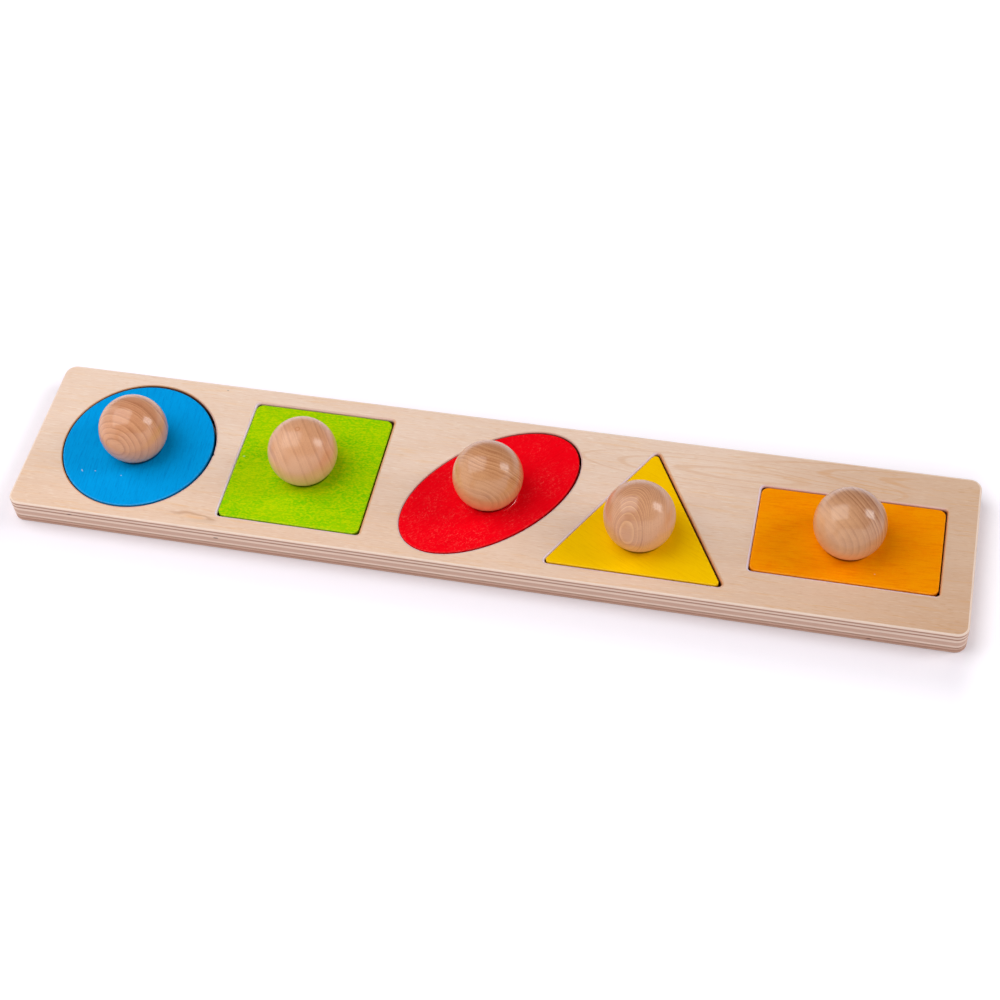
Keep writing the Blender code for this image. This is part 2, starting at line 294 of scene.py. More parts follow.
def seen_directly(finish, mirrored):
    """1 for the rays that see a surface directly or through glass, this share in a mirror, 0 for others."""
    total = 0.0
    for ray, share in (("Is Camera Ray", 1.0), ("Is Glossy Ray", mirrored), ("Is Transmission Ray", 1.0)):
        total = finish.node("ShaderNodeLightPath", output=ray) * share + total
    return total.math("MINIMUM", 1.0)


def ring_quads(index, turned=False):
    """The faces between the rows of a grid whose rows are closed rings, or the same faces turned over."""
    after = np.roll(index, -1, 1)
    quads = np.stack([index[:-1], after[:-1], after[1:], index[1:]], 2).reshape(-1, 4)
    return quads[:, [0, 3, 2, 1]] if turned else quads


def make_floor():
    """A disc: radius grows by equal factors from ring to ring, and the angle goes once round."""
    radii = FLOOR_RADIUS * np.geomspace(FLOOR_FIRST_RING, 1.0, FLOOR_RINGS)
    angles = np.linspace(0, 2 * np.pi, FLOOR_SIDES, endpoint=False)
    reach, angle = np.meshgrid(radii, angles, indexing="ij")
    points = np.stack([reach * np.cos(angle), reach * np.sin(angle), np.zeros_like(reach)], 2)
    index = np.arange(reach.size).reshape(reach.shape)
    faces = ring_quads(index, turned=True).tolist() + [index[0].tolist()]
    mesh = bpy.data.meshes.new("floor")
    mesh.from_pydata(points.reshape(-1, 3).tolist(), [], faces)
    floor = bpy.data.objects.new("floor", mesh)
    bpy.context.scene.collection.objects.link(floor)
    return floor


def floor_finish():
    """White paint, and a glow that rises with the distance from the board's outline. Each rise is the
    distance where it starts, the distance where it ends, and the glow that it reaches."""
    finish = Finish("white sheet", roughness=0.9, specular_ior_level=0.0)
    white = finish.patches((0.4, 0.4, 0.4)) * 0.01 + FLOOR_WHITE
    finish.colour(finish.node("ShaderNodeCombineColor", None, {0: white, 1: white * 0.96, 2: white * 1.03}))
    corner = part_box("base_board")[1]
    offset = finish.vector("ABSOLUTE", finish.vector("SUBTRACT", finish.place, SHADOW_SIDE))
    past = finish.vector("SUBTRACT", offset, (corner.x, corner.y, 0.0))
    outside = finish.vector("MAXIMUM", past, (0.0, 0.0, 0.0))
    distance = finish.length(finish.vector("DIVIDE", outside, GLOW_REACH))
    glow = reached = GLOW_AT_BOARD
    for start, end, level in GLOW_RISES:
        glow = finish.rise(distance, start, end) * (level - reached) + glow
        reached = level
    tinted = {channel: glow * GLOW_TINT[channel] for channel in range(3)}
    finish.feed(finish.shader.inputs["Emission Color"], finish.node("ShaderNodeCombineColor", None, tinted))
    finish.feed(finish.shader.inputs["Emission Strength"], seen_directly(finish, FLOOR_MIRRORED))
    return finish.material


floor = make_floor()
floor.data.materials.append(floor_finish())
print("floor faces:", len(floor.data.polygons))

world = bpy.data.worlds.new("studio")
world.use_nodes = True
bpy.context.scene.world = world


class Room(Finish):
    """The world's node tree, which has a Background shader in place of a material's."""

    def __init__(self):
        self.tree = world.node_tree
        self.shader = self.tree.nodes["Background"]


room = Room()
room.feed(room.shader.inputs["Color"], (1.0, 1.0, 1.0, 1.0))
seen = seen_directly(room, ROOM_MIRRORED)
room.feed(room.shader.inputs["Strength"], seen * (1.0 - ROOM_LIGHT) + ROOM_LIGHT)

# %% [markdown]
# The sheets are cut from plywood by a saw that follows an outline, and sanding rounds the edges over. So
# each surface here is a profile carried along an outline. The outline gives points and the direction
# straight out of the shape at each point. The profile gives pairs of how far out and how high. Together
# they make a grid that numpy fills at once, and the flat faces between the grids are filled with
# triangles. Polygons of a few points would do for the CAD model, but here the rounds are fine enough to
# look round close up.

# %% Outlines
OVAL_STEPS = 256
CORNER_STEPS = 10


def oval_line(length, width, out=0.0):
    """Point = (length/2 cos t, width/2 sin t), moved straight out. Outward = (width cos t, length sin t)."""
    t = np.linspace(0, 2 * np.pi, OVAL_STEPS, endpoint=False)
    points = np.stack([length / 2 * np.cos(t), width / 2 * np.sin(t)], 1)
    outward = np.stack([width * np.cos(t), length * np.sin(t)], 1)
    outward /= np.linalg.norm(outward, axis=1, keepdims=True)
    return points + outward * out, outward


def cornered_line(corners, radius):
    """A polygon, anticlockwise, whose corners are arcs: centre + radius x outward, with outward turning
    from the square of the side before to the square of the side after."""
    corners = np.asarray(corners, float)
    before = np.roll(corners, 1, 0) - corners
    after = np.roll(corners, -1, 0) - corners
    before /= np.linalg.norm(before, axis=1, keepdims=True)
    after /= np.linalg.norm(after, axis=1, keepdims=True)
    half_angle = np.arccos((before * after).sum(1)) / 2
    inwards = before + after
    inwards /= np.linalg.norm(inwards, axis=1, keepdims=True)
    centres = corners + inwards * (radius / np.sin(half_angle))[:, None]
    first = np.arctan2(before[:, 0], -before[:, 1])
    angles = first[:, None] + (np.pi - 2 * half_angle)[:, None] * np.linspace(0, 1, CORNER_STEPS + 1)
    outward = np.stack([np.cos(angles), np.sin(angles)], 2)
    points = centres[:, None] + outward * radius
    return points.reshape(-1, 2), outward.reshape(-1, 2)


def box_line(length, width, radius, out=0.0):
    """A rectangle about its middle, moved straight out, with arcs of this radius for corners."""
    x, y = length / 2 + out, width / 2 + out
    return cornered_line([(x, y), (-x, y), (-x, -y), (x, -y)], radius)


def triangle_line(side, radius, out=0.0):
    """An equilateral triangle about its centroid, pointing to +Y. Moving a side out by one width adds
    twice the square root of 3 widths to each side."""
    reach = (side + 2 * math.sqrt(3) * out) / math.sqrt(3)
    angles = np.radians([90, 210, 330])
    return cornered_line(np.stack([np.cos(angles), np.sin(angles)], 1) * reach, radius)


def swung(line, turn, middle):
    """The outline turned about its middle and then moved to this place."""
    swing = np.array([[math.cos(turn), -math.sin(turn)], [math.sin(turn), math.cos(turn)]])
    points, outward = line
    return points @ swing.T + np.asarray(middle), outward @ swing.T


print("points round an oval:", len(oval_line(1, 1)[0]))

# %% [markdown]
# A rounded edge, an arris, is a quarter circle. After it comes one narrow flat band before the big face
# starts. The band looks like nothing, but smooth shading blends the directions of neighbouring faces, and
# with the band both its sides are flat, so the face stays dead flat right up to the rounding.

# %% Profiles and grids
ARRIS_STEPS = 6
FLAT_BAND = 0.00025
SHARPEST_SMOOTH_ANGLE = math.radians(35)


def arris_curve(radius, height, way):
    """Quarter circle up to a face at this height: back from the wall = radius (1 - sin a), and short of
    the face = radius (1 - cos a), for a from the wall to the face. Way is 1 for a top face, -1 below."""
    a = np.linspace(np.pi / 2, 0, ARRIS_STEPS + 1)
    back = np.append(radius * (1 - np.sin(a)), radius + FLAT_BAND)
    level = np.append(height - way * radius * (1 - np.cos(a)), height)
    curve = np.stack([back, level], 1)
    return curve if way > 0 else curve[::-1]


class Surface:
    """Collects grids and flat faces of one piece, then makes its mesh."""

    def __init__(self):
        self.points = []
        self.faces = []
        self.parts = []
        self.rims = []
        self.count = 0

    def add(self, points, faces, part, rim=0.0):
        """Adds points, the faces of one numbered part, and the value that is painted on each point."""
        self.points.append(points)
        self.faces += faces
        self.parts += [part] * len(faces)
        self.rims.append(np.zeros(len(points)) + rim)
        self.count += len(points)

    def wall(self, line, profile, part, outside=True, rim=None):
        """Carries a profile (back from the outline, height) round a closed outline. A wall of a hole faces
        its middle, so there the profile goes outwards and the faces turn round. Rim is painted on the mesh:
        one value for each row of the profile and each point of the outline."""
        points, outward = line
        back = profile[:, 0] if outside else -profile[:, 0]
        flat = points[None] - outward[None] * back[:, None, None]
        height = np.broadcast_to(profile[:, 1][:, None, None], (*flat.shape[:2], 1))
        index = self.count + np.arange(flat.shape[0] * flat.shape[1]).reshape(flat.shape[:2])
        quads = ring_quads(index)
        quads = quads if outside else quads[:, ::-1]
        rim = 0.0 if rim is None else rim.ravel()
        self.add(np.concatenate([flat, height], 2).reshape(-1, 3), quads.tolist(), part, rim)
        return index

    def face(self, loops, up, part):
        """Fills the flat face between an outer loop of points and the loops of its holes."""
        points = np.concatenate(self.points)
        index = np.concatenate(loops)
        flat = [[Vector(points[i]) for i in loop] for loop in loops]
        triangles = index[np.array(tessellate_polygon(flat))]
        a, b, c = (points[triangles[:, k], :2] for k in range(3))
        area = (b[:, 0] - a[:, 0]) * (c[:, 1] - a[:, 1]) - (b[:, 1] - a[:, 1]) * (c[:, 0] - a[:, 0])
        wrong = (area > 0) != up
        triangles[wrong] = triangles[wrong][:, ::-1]
        self.add(np.empty((0, 3)), triangles.tolist(), part)

    def pole(self, loop, point, way):
        """Closes a ring of points with a fan of faces round one more point. Way turns the faces over."""
        fan = np.stack([np.full(len(loop), self.count), np.roll(loop, -way), loop], 1)
        self.add(np.array([point]), fan.tolist(), 0)

    def make(self, name, body, replaced=None):
        """The finished piece on its body. Its place is in its mesh, and its object is at the origin."""
        mesh = bpy.data.meshes.new(name)
        mesh.from_pydata(np.concatenate(self.points).tolist(), [], self.faces)
        mesh.polygons.foreach_set("material_index", self.parts)
        mesh.attributes.new("rim", "FLOAT", "POINT").data.foreach_set("value", np.concatenate(self.rims))
        mesh.shade_smooth()
        mesh.set_sharp_from_angle(angle=SHARPEST_SMOOTH_ANGLE)
        piece = bpy.data.objects.new(name, mesh)
        bpy.context.scene.collection.objects.link(piece)
        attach(piece, body)
        if replaced:
            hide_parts(replaced)
        report_closed(name, self.faces)
        return piece


def report_closed(name, faces):
    """Prints whether every edge has a face on each side, one each way round."""
    ends = np.concatenate([np.stack([face, np.roll(face, -1)], 1) for face in map(np.array, faces)])
    there = ends[:, 0] * (ends.max() + 1) + ends[:, 1]
    back = ends[:, 1] * (ends.max() + 1) + ends[:, 0]
    closed = len(np.unique(there)) == len(there) and np.array_equal(np.sort(there), np.sort(back))
    print(name, "faces:", len(faces), "closed:", closed)


# %% [markdown]
# All sizes of the pieces and their windows are the maker's own, in metres. Where each piece lies is read
# from the frame: the middle of its ball knob is the line that it is lifted along. A piece lies to the left
# in its window, by a share of the clearance, so the gap is wider on its right. Sanding has rounded the
# straight windows more than the round ones, and with a wider rounding the wall below stands closer. Gaps
# and roundings follow the look of the real ones, a few tenths of a millimetre from the CAD model's.

# %% Sizes of the set
SHEET_THICKNESS = 0.009
BASE_THICKNESS = 0.003
GLUE_THICKNESS = 0.0003
SHEET_TOP = BASE_THICKNESS + GLUE_THICKNESS + SHEET_THICKNESS
CIRCLE_WIDTH = 0.067
SQUARE_SIDE = 0.0625
OVAL_SIZE = (0.086, 0.0495)
OVAL_LEAN = math.radians(45)
TRIANGLE_SIDE = 0.0744
RECTANGLE_SIZE = (0.0765, 0.0434)
BOARD_CORNER_RADIUS = 0.005
PIECE_CORNER_RADIUS = 0.0032
TRIANGLE_CORNER_RADIUS = 0.0017
WINDOW_CORNER_RADIUS = 0.0015
BOARD_ARRIS = 0.0006
ROUND_ARRIS = 0.00035
SANDED_ARRIS = 0.0008
PIECE_ARRIS = 0.0006
BASE_ARRIS = 0.0004


class Shape:
    """One of the five shapes: its outline, its turn, and its window's clearance, drift and arris. The
    bare-and-highlight shares say how pale the window's rim is, as bare sanded wood and a painted highlight:
    on average, more to +X, and more to +Y."""

    def __init__(self, name, line, corner, clearance, drift, turn=0.0, arris=ROUND_ARRIS,
                 bare_and_highlight=(0.55, -0.50, -0.10)):
        self.name = name
        self.line = line
        self.corner = corner
        self.turn = turn
        self.clearance = clearance
        self.arris = arris
        self.bare_and_highlight = bare_and_highlight
        low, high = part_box(f"{name}_knob")
        self.middle = np.array([(low.x + high.x) / 2, (low.y + high.y) / 2])
        self.window_middle = self.middle + (drift * clearance, 0.0)
        self.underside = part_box(f"{name}_piece")[0].z

    def piece_line(self):
        """The outline of the piece, where the piece lies."""
        return swung(self.line(self.corner, 0.0), self.turn, self.middle)

    def window_line(self):
        """The piece's outline moved out by the clearance, and right by the drift's share of it."""
        return swung(self.line(WINDOW_CORNER_RADIUS, self.clearance), self.turn, self.window_middle)


SHAPES = [
    Shape("circle", lambda corner, out: oval_line(CIRCLE_WIDTH, CIRCLE_WIDTH, out), 0.0,
          clearance=0.00075, drift=0.58, bare_and_highlight=(0.10, 0.50, -0.30)),
    Shape("square", lambda corner, out: box_line(SQUARE_SIDE, SQUARE_SIDE, corner, out), PIECE_CORNER_RADIUS,
          clearance=0.00035, drift=0.5, arris=SANDED_ARRIS),
    Shape("oval", lambda corner, out: oval_line(*OVAL_SIZE, out), 0.0,
          clearance=0.00052, drift=0.84, turn=OVAL_LEAN, bare_and_highlight=(0.50, 0.0, -0.20)),
    Shape("triangle", lambda corner, out: triangle_line(TRIANGLE_SIDE, corner, out), TRIANGLE_CORNER_RADIUS,
          clearance=0.00043, drift=0.99, arris=SANDED_ARRIS),
    Shape("rectangle", lambda corner, out: box_line(*RECTANGLE_SIZE, corner, out), PIECE_CORNER_RADIUS,
          clearance=0.00035, drift=0.43, arris=SANDED_ARRIS),
]
for shape in SHAPES:
    print(shape.name, "is lifted at", np.round(shape.middle, 4))

# %% [markdown]
# The windowed board is one sheet with five holes. Its outer edge shows the plies, and so do the walls of
# its windows, so face, edge and window wall are numbered parts of one piece, each with its own finish. The
# cutter has browned the walls, and their colour darkens with depth below the face as painted shade in the
# narrow gaps. Sanding has bared their rims again, on some sides more than on others, and the thin pale
# line there is bare wood and a painted highlight. The mesh carries it as a painted value on the rounding,
# from 0 where the rim is brown to 1 where it is palest. Where the cutter went in and came out again at the
# round window, it left a small nick.

# %% Windowed board
FACE, EDGE, BROWN_WALL, SANDED_WALL = 0, 1, 2, 3
SANDING_DEPTH = 0.0006
NICK_DEPTH = 0.00045
NICK_HALF_ANGLE = 0.014


def with_nick(line, middle):
    """Moves points out by depth x exp(-(angle / half angle)^2), about the angle 0."""
    points, outward = line
    angle = np.arctan2(points[:, 1] - middle[1], points[:, 0] - middle[0])
    return points + outward * (NICK_DEPTH * np.exp(-((angle / NICK_HALF_ANGLE) ** 2)))[:, None], outward


def sheet_line(node):
    """The outline of a whole sheet, as long and as wide as its box in the frame."""
    low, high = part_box(node)
    return box_line(high.x - low.x, high.y - low.y, BOARD_CORNER_RADIUS)


def make_frame_board():
    """The outer edge, a wall round each window, and the two faces between them."""
    low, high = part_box("frame_board")
    surface = Surface()
    edge = np.concatenate([[(0.0, low.z)], arris_curve(BOARD_ARRIS, high.z, 1)])
    walls = [surface.wall(sheet_line("frame_board"), edge, EDGE)]
    for shape in SHAPES:
        line = shape.window_line()
        if shape.name == "circle":
            line = with_nick(line, shape.window_middle)
        part = SANDED_WALL if shape.arris == SANDED_ARRIS else BROWN_WALL
        below = high.z - shape.arris - SANDING_DEPTH
        rim = np.concatenate([[(0.0, low.z), (0.0, below)], arris_curve(shape.arris, high.z, 1)])
        sanded = np.ones(len(rim))
        sanded[[0, 1, -1]] = 0.0
        # Paleness of the rim: bare sanded wood and a painted highlight, more on some sides than on others.
        pale_and_highlight_share = np.outer(sanded, np.clip(shape.bare_and_highlight[0] + line[1] @ shape.bare_and_highlight[1:], 0, 1))
        walls.append(surface.wall(line, rim, part, outside=False, rim=pale_and_highlight_share))
    surface.face([wall[-1] for wall in walls], True, FACE)
    surface.face([wall[0] for wall in walls], False, FACE)
    return surface.make("windowed_board", "board", "frame_board")


windowed_board = make_frame_board()

# %% [markdown]
# Under the windows lies a thin sheet, glued on. The glue shows as a fine dark line round the board, set
# back a little because it is wiped off while wet. It is its own thin piece between the two sheets.

# %% Base sheet and glue line
GLUE_SET_BACK = 0.00035
GLUE_SPARE = 0.00002


def make_base_sheet():
    """A side that is rounded at the bottom, and the two faces."""
    low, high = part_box("base_board")
    surface = Surface()
    profile = np.concatenate([arris_curve(BASE_ARRIS, low.z, -1), [(0.0, high.z)]])
    wall = surface.wall(sheet_line("base_board"), profile, EDGE)
    surface.face([wall[-1]], True, FACE)
    surface.face([wall[0]], False, FACE)
    return surface.make("base_sheet", "board", "base_board")


def make_glue_line():
    """An upright side all round, one more round each window, and the two faces."""
    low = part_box("base_board")[1].z + GLUE_SPARE
    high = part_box("frame_board")[0].z - GLUE_SPARE
    surface = Surface()
    square_edge = np.array([(GLUE_SET_BACK, low), (GLUE_SET_BACK, high)])
    walls = [surface.wall(sheet_line("base_board"), square_edge, 0)]
    for shape in SHAPES:
        walls.append(surface.wall(shape.window_line(), square_edge, 0, outside=False))
    surface.face([wall[-1] for wall in walls], True, 0)
    surface.face([wall[0] for wall in walls], False, 0)
    return surface.make("glue_line", "board")


base_sheet = make_base_sheet()
glue_line = make_glue_line()

# %% [markdown]
# Each coloured piece is sawn from the same sheet, rounded over on both faces, and bored for a countersunk
# screw from below. The bore goes right through, and the ball hides its upper end.

# %% Coloured pieces
SCREW_LENGTH = 0.020
SCREW_RADIUS = 0.00175
SCREW_HEAD_RADIUS = 0.0035
SCREW_HEAD_LAND = 0.0003
SCREW_HEAD_SINK = 0.0004
SCREW_CLEARANCE = 0.0003
BORE_STEPS = 48
REFLECTION_AT = 0.35 * PIECE_ARRIS
REFLECTION_SHARES = (0.55, -0.15, -0.40)


def ring_line(middle, steps=BORE_STEPS):
    """A circle of no width about a middle. The profile that it carries gives the radius."""
    t = np.linspace(0, 2 * np.pi, steps, endpoint=False)
    outward = np.stack([np.cos(t), np.sin(t)], 1)
    return outward * 0 + middle, outward


def make_piece(shape):
    """Painted reflection on the rounding = exp(-((depth - reflection at) / reflection at)^2) x shares as a
    window's.
    """
    low = shape.underside
    high = low + SHEET_THICKNESS
    mouth = SCREW_HEAD_RADIUS + SCREW_CLEARANCE
    bore = SCREW_RADIUS + SCREW_CLEARANCE
    seat = low + SCREW_HEAD_SINK + SCREW_HEAD_LAND
    surface = Surface()
    profile = np.concatenate([arris_curve(PIECE_ARRIS, low, -1), arris_curve(PIECE_ARRIS, high, 1)])
    # Painted reflection on the rounding, strongest on the sides that face the front and the left.
    rim_reflection = np.exp(-(((profile[:, 0] - REFLECTION_AT) / REFLECTION_AT) ** 2))
    line = shape.piece_line()
    shares = REFLECTION_SHARES[0] + line[1] @ REFLECTION_SHARES[1:]
    outside = surface.wall(line, profile, EDGE, rim=np.outer(rim_reflection, shares))
    hole = np.array([(mouth, low), (mouth, seat), (bore, seat + mouth - bore), (bore, high)])
    inside = surface.wall(ring_line(shape.middle), hole, EDGE, outside=False)
    surface.face([outside[-1], inside[-1]], True, FACE)
    surface.face([outside[0], inside[0]], False, FACE)
    return surface.make(f"{shape.name}_shape", shape.name, f"{shape.name}_piece")


pieces = {shape.name: make_piece(shape) for shape in SHAPES}

# %% [markdown]
# A ball knob is turned on a lathe: a ball of 30 mm with a flat cut under it and a pilot hole for the
# screw. Blender's own UV sphere has no flat and no hole. A profile of radius and height turned about the
# lift line gives all three in one closed surface, from the top pole round to the end of the hole.

# %% Ball knobs
KNOB_RADIUS = 0.015
KNOB_CUT = 0.0042
BALL_HEIGHT = KNOB_RADIUS - KNOB_CUT
KNOB_FLAT_ROUNDING = 0.0004
KNOB_ROWS = 72
KNOB_STEPS = 128
PILOT_SPARE_DEPTH = 0.001


def knob_profile(flat_height, pilot_end):
    """From the end of the pilot hole down and out over the flat, then up the ball: radius R sin a, height
    centre + R cos a."""
    centre = flat_height + BALL_HEIGHT
    widest = math.acos(-BALL_HEIGHT / KNOB_RADIUS)
    a = np.linspace(widest - KNOB_FLAT_ROUNDING / KNOB_RADIUS, 0, KNOB_ROWS)
    flat_radius = KNOB_RADIUS * math.sin(widest) - KNOB_FLAT_ROUNDING
    pilot = SCREW_RADIUS + SCREW_CLEARANCE
    under = [(0.0, pilot_end), (pilot, pilot_end), (pilot, flat_height), (flat_radius, flat_height)]
    ball = np.stack([KNOB_RADIUS * np.sin(a), centre + KNOB_RADIUS * np.cos(a)], 1)
    ball[-1, 0] = 0.0
    return np.concatenate([under, ball])


def make_knob(shape):
    """The profile turned about the lift line. Its two ends lie on that line and become poles."""
    flat_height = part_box(f"{shape.name}_knob")[0].z
    tip = shape.underside + SCREW_HEAD_SINK + SCREW_LENGTH
    profile = knob_profile(flat_height, tip + PILOT_SPARE_DEPTH)
    surface = Surface()
    around = surface.wall(ring_line(shape.middle, KNOB_STEPS), profile[1:-1] * (-1, 1), 0)
    surface.pole(around[0], (*shape.middle, profile[0, 1]), 1)
    surface.pole(around[-1], (*shape.middle, profile[-1, 1]), -1)
    return surface.make(f"{shape.name}_ball", shape.name, f"{shape.name}_knob")


knobs = {shape.name: make_knob(shape) for shape in SHAPES}

# %% [markdown]
# A little varnish has run down and set as a glossy bead at the foot of the red piece's ball, on its right.
# It is part of a ring that gets thinner towards both ends, half sunk in the face of the piece.

# %% Bead at the foot of a ball
BEAD_REACH = 0.0122
BEAD_RADIUS = 0.00045
BEAD_ANGLES = (-0.85, 0.15)
BEAD_END = 0.001
BEAD_ROWS = 40
BEAD_STEPS = 12


def make_bead(shape):
    """Centre line = ring of this reach, and radius = bead radius x sin(share of the way)^0.5 round it."""
    share = np.linspace(BEAD_END, 1 - BEAD_END, BEAD_ROWS)
    way = BEAD_ANGLES[0] + (BEAD_ANGLES[1] - BEAD_ANGLES[0]) * share
    thickness = BEAD_RADIUS * np.sqrt(np.sin(np.pi * share))
    around = np.linspace(0, 2 * np.pi, BEAD_STEPS, endpoint=False)
    reach = BEAD_REACH + np.outer(thickness, np.cos(around))
    height = shape.underside + SHEET_THICKNESS + np.outer(thickness, np.sin(around))
    grid = np.stack([reach * np.cos(way)[:, None], reach * np.sin(way)[:, None], height], 2)
    grid[:, :, :2] += shape.middle
    index = np.arange(BEAD_ROWS * BEAD_STEPS).reshape(BEAD_ROWS, BEAD_STEPS)
    ends = [index[0].tolist(), index[-1, ::-1].tolist()]
    surface = Surface()
    surface.add(grid.reshape(-1, 3), ring_quads(index, turned=True).tolist() + ends, 0)
    return surface.make("oval_bead", shape.name)


bead = make_bead(next(shape for shape in SHAPES if shape.name == "oval"))

# %% [markdown]
# The screws are zinc-plated countersunk wood screws, seen only from below. The thread is a ridge that
# climbs one pitch in each turn, so the radius depends on height and angle together. The head's face is a
# height field: a cross-shaped pit with sloping walls, pressed in for the screwdriver.

# %% Screws
SHANK_START = 0.0020
SHANK_LENGTH = 0.007
SHANK_ROWS = 8
BLUNT_TIP = 0.02
TIP_LENGTH = 0.0028
THREAD_PITCH = 0.0015
THREAD_DEPTH = 0.00055
THREAD_SHARPNESS = 0.8
RECESS_ARM = 0.0021
RECESS_SLOT = 0.00045
RECESS_DEPTH = 0.0019
RECESS_SIDE_SLOPE = 0.0002
RECESS_END_SLOPE = 0.0012
SCREW_STEPS = 64
HEAD_RINGS = 26
ROWS_PER_PITCH = 12


def screw_radius(height, angle):
    """Head land, 45 degree cone, plain shank, then outer - depth x (distance from the ridge)^0.8. The last
    stretch narrows to the point in a straight cone."""
    shank = np.clip(SCREW_HEAD_RADIUS - (height - SCREW_HEAD_LAND), SCREW_RADIUS, SCREW_HEAD_RADIUS)
    phase = (height / THREAD_PITCH - angle / (2 * np.pi)) % 1.0
    ridge = np.abs(2 * phase - 1) ** THREAD_SHARPNESS
    fade = np.clip((height - SHANK_LENGTH) / THREAD_PITCH, 0, 1)
    narrowing = np.clip((SCREW_LENGTH - height) / TIP_LENGTH, 0, 1)
    return (shank - THREAD_DEPTH * ridge * fade) * np.minimum(1.0, narrowing + BLUNT_TIP)


def recess_depth(x, y):
    """Depth x the lesser of two ramps: in from the arm's side, and in from the arm's end."""
    across = np.minimum(np.abs(x), np.abs(y))
    along = np.maximum(np.abs(x), np.abs(y))
    side = (RECESS_SLOT - across) / RECESS_SIDE_SLOPE
    end = (RECESS_ARM - along) / RECESS_END_SLOPE
    return RECESS_DEPTH * np.clip(np.minimum(side, end), 0, 1)


def make_screw(shape):
    """Face of the head = recess depth over rings, side = screw radius over height and angle."""
    low = shape.underside + SCREW_HEAD_SINK
    angles = np.linspace(0, 2 * np.pi, SCREW_STEPS, endpoint=False)
    rows = int((SCREW_LENGTH - SHANK_LENGTH) / THREAD_PITCH * ROWS_PER_PITCH)
    cone_end = SCREW_HEAD_LAND + SCREW_HEAD_RADIUS - SCREW_RADIUS
    shank = np.linspace(SHANK_START, SHANK_LENGTH, SHANK_ROWS)[1:]
    thread = np.linspace(SHANK_LENGTH, SCREW_LENGTH, rows + 1)[1:]
    side = np.concatenate([[0, SCREW_HEAD_LAND, cone_end], shank, thread])
    height, angle = np.meshgrid(side, angles, indexing="ij")
    radius = screw_radius(height, angle)
    ring = np.linspace(0, SCREW_HEAD_RADIUS, HEAD_RINGS + 1)[1:-1]
    head_radius, head_angle = np.meshgrid(ring, angles, indexing="ij")
    dent = recess_depth(head_radius * np.cos(head_angle), head_radius * np.sin(head_angle))
    radius = np.concatenate([head_radius, radius])
    angle = np.concatenate([head_angle, angle])
    height = np.concatenate([dent, height])
    grid = np.stack([radius * np.cos(angle), radius * np.sin(angle), height], 2) + (*shape.middle, low)
    index = np.arange(height.size).reshape(height.shape)
    surface = Surface()
    surface.add(grid.reshape(-1, 3), ring_quads(index).tolist(), 0)
    surface.pole(index[0], (*shape.middle, low + RECESS_DEPTH), 1)
    surface.pole(index[-1], (*shape.middle, low + SCREW_LENGTH), -1)
    return surface.make(f"{shape.name}_wood_screw", shape.name, f"{shape.name}_screw")


screws = {shape.name: make_screw(shape) for shape in SHAPES}

# %% [markdown]
# The board's face is birch veneer, peeled from a turning log. So its grain runs the long way as fine
# streaks, and where the knife cut through the year rings at a slant they show as long nested lines. A
# picture of wood would tile and blur. Here stretched noise makes the streaks, and the nested lines are the
# contours of smooth hills, which is how they arise in real veneer.

# %% Birch face
BIRCH_LIGHT = paint(241, 214, 195)
BIRCH_DARK = paint(235, 204, 182)
BIRCH_STREAK = paint(237, 196, 154)
BIRCH_PALE = paint(247, 226, 211)
TAN_AND_SHADE_TINT = paint(237, 226, 213)
RING_BROWN = paint(216, 160, 108)
KNOT_BROWN = paint(186, 134, 98)
KNOT_AMBER = paint(236, 186, 140)
KNOT_GREY = paint(212, 178, 150)
PORE_TAN = paint(222, 180, 146)
WARM_AND_SHADE_TINT = paint(250, 244, 238)
PORE_BROWN = paint(120, 92, 80)
RIM_PALE_AND_HIGHLIGHT = paint(232, 213, 222)
KNOT_MIDDLE = (-0.1214, -0.0341, 0.0)
KNOT_LENGTHWAYS = (0.9976, -0.0698, 0.0)
KNOT_CROSSWAYS = (0.0698, 0.9976, 0.0)
KNOT_LENGTH = 0.0072
KNOT_WIDTH = 0.0015
DARK_PORE = (-0.1274, 0.0367, 0.0)
RIDGE_START = 0.176
RIDGE_MIDDLE = 0.0335
RIDGE_WIDTH = 0.0048
RIDGE_DROP = -0.030
LENS_MIDDLE = (0.105, 0.0262)
LENS_SIZE = (0.052, 0.0062)
RING_LINE_GAP = 0.0052
VENEER_RELIEF = 0.00002


def birch_grain(finish, depth=0.0):
    """Tone, streaks and pores of plain birch veneer. Depth is where in the log its noise starts."""
    cloud = finish.patches((0.06, 0.009, 0.05), detail=3.0, centre=(0.0, 0.0, depth))
    streak = finish.patches((0.018, 0.0009, 0.02), detail=3.0, centre=(0.0, 0.0, depth))
    fibre = finish.patches((0.0045, 0.0005, 0.01), detail=2.0, centre=(0.0, 0.0, depth))
    base = finish.mix(finish.rise(cloud + streak * 0.4, -1.1, 1.1), BIRCH_DARK, BIRCH_LIGHT)
    base = finish.mix(finish.rise(streak, 0.05, 1.0) * 0.75, base, BIRCH_STREAK)
    base = finish.mix(finish.rise(fibre, 0.10, 1.0) * 0.7, base, BIRCH_PALE)
    pores = finish.patches((0.0035, 0.0004, 0.01), detail=0.0, centre=(0.3, 0.2, depth))
    base = finish.mix(finish.rise(pores, 0.45, 1.1) * 0.38, base, PORE_TAN)
    return base, streak, fibre


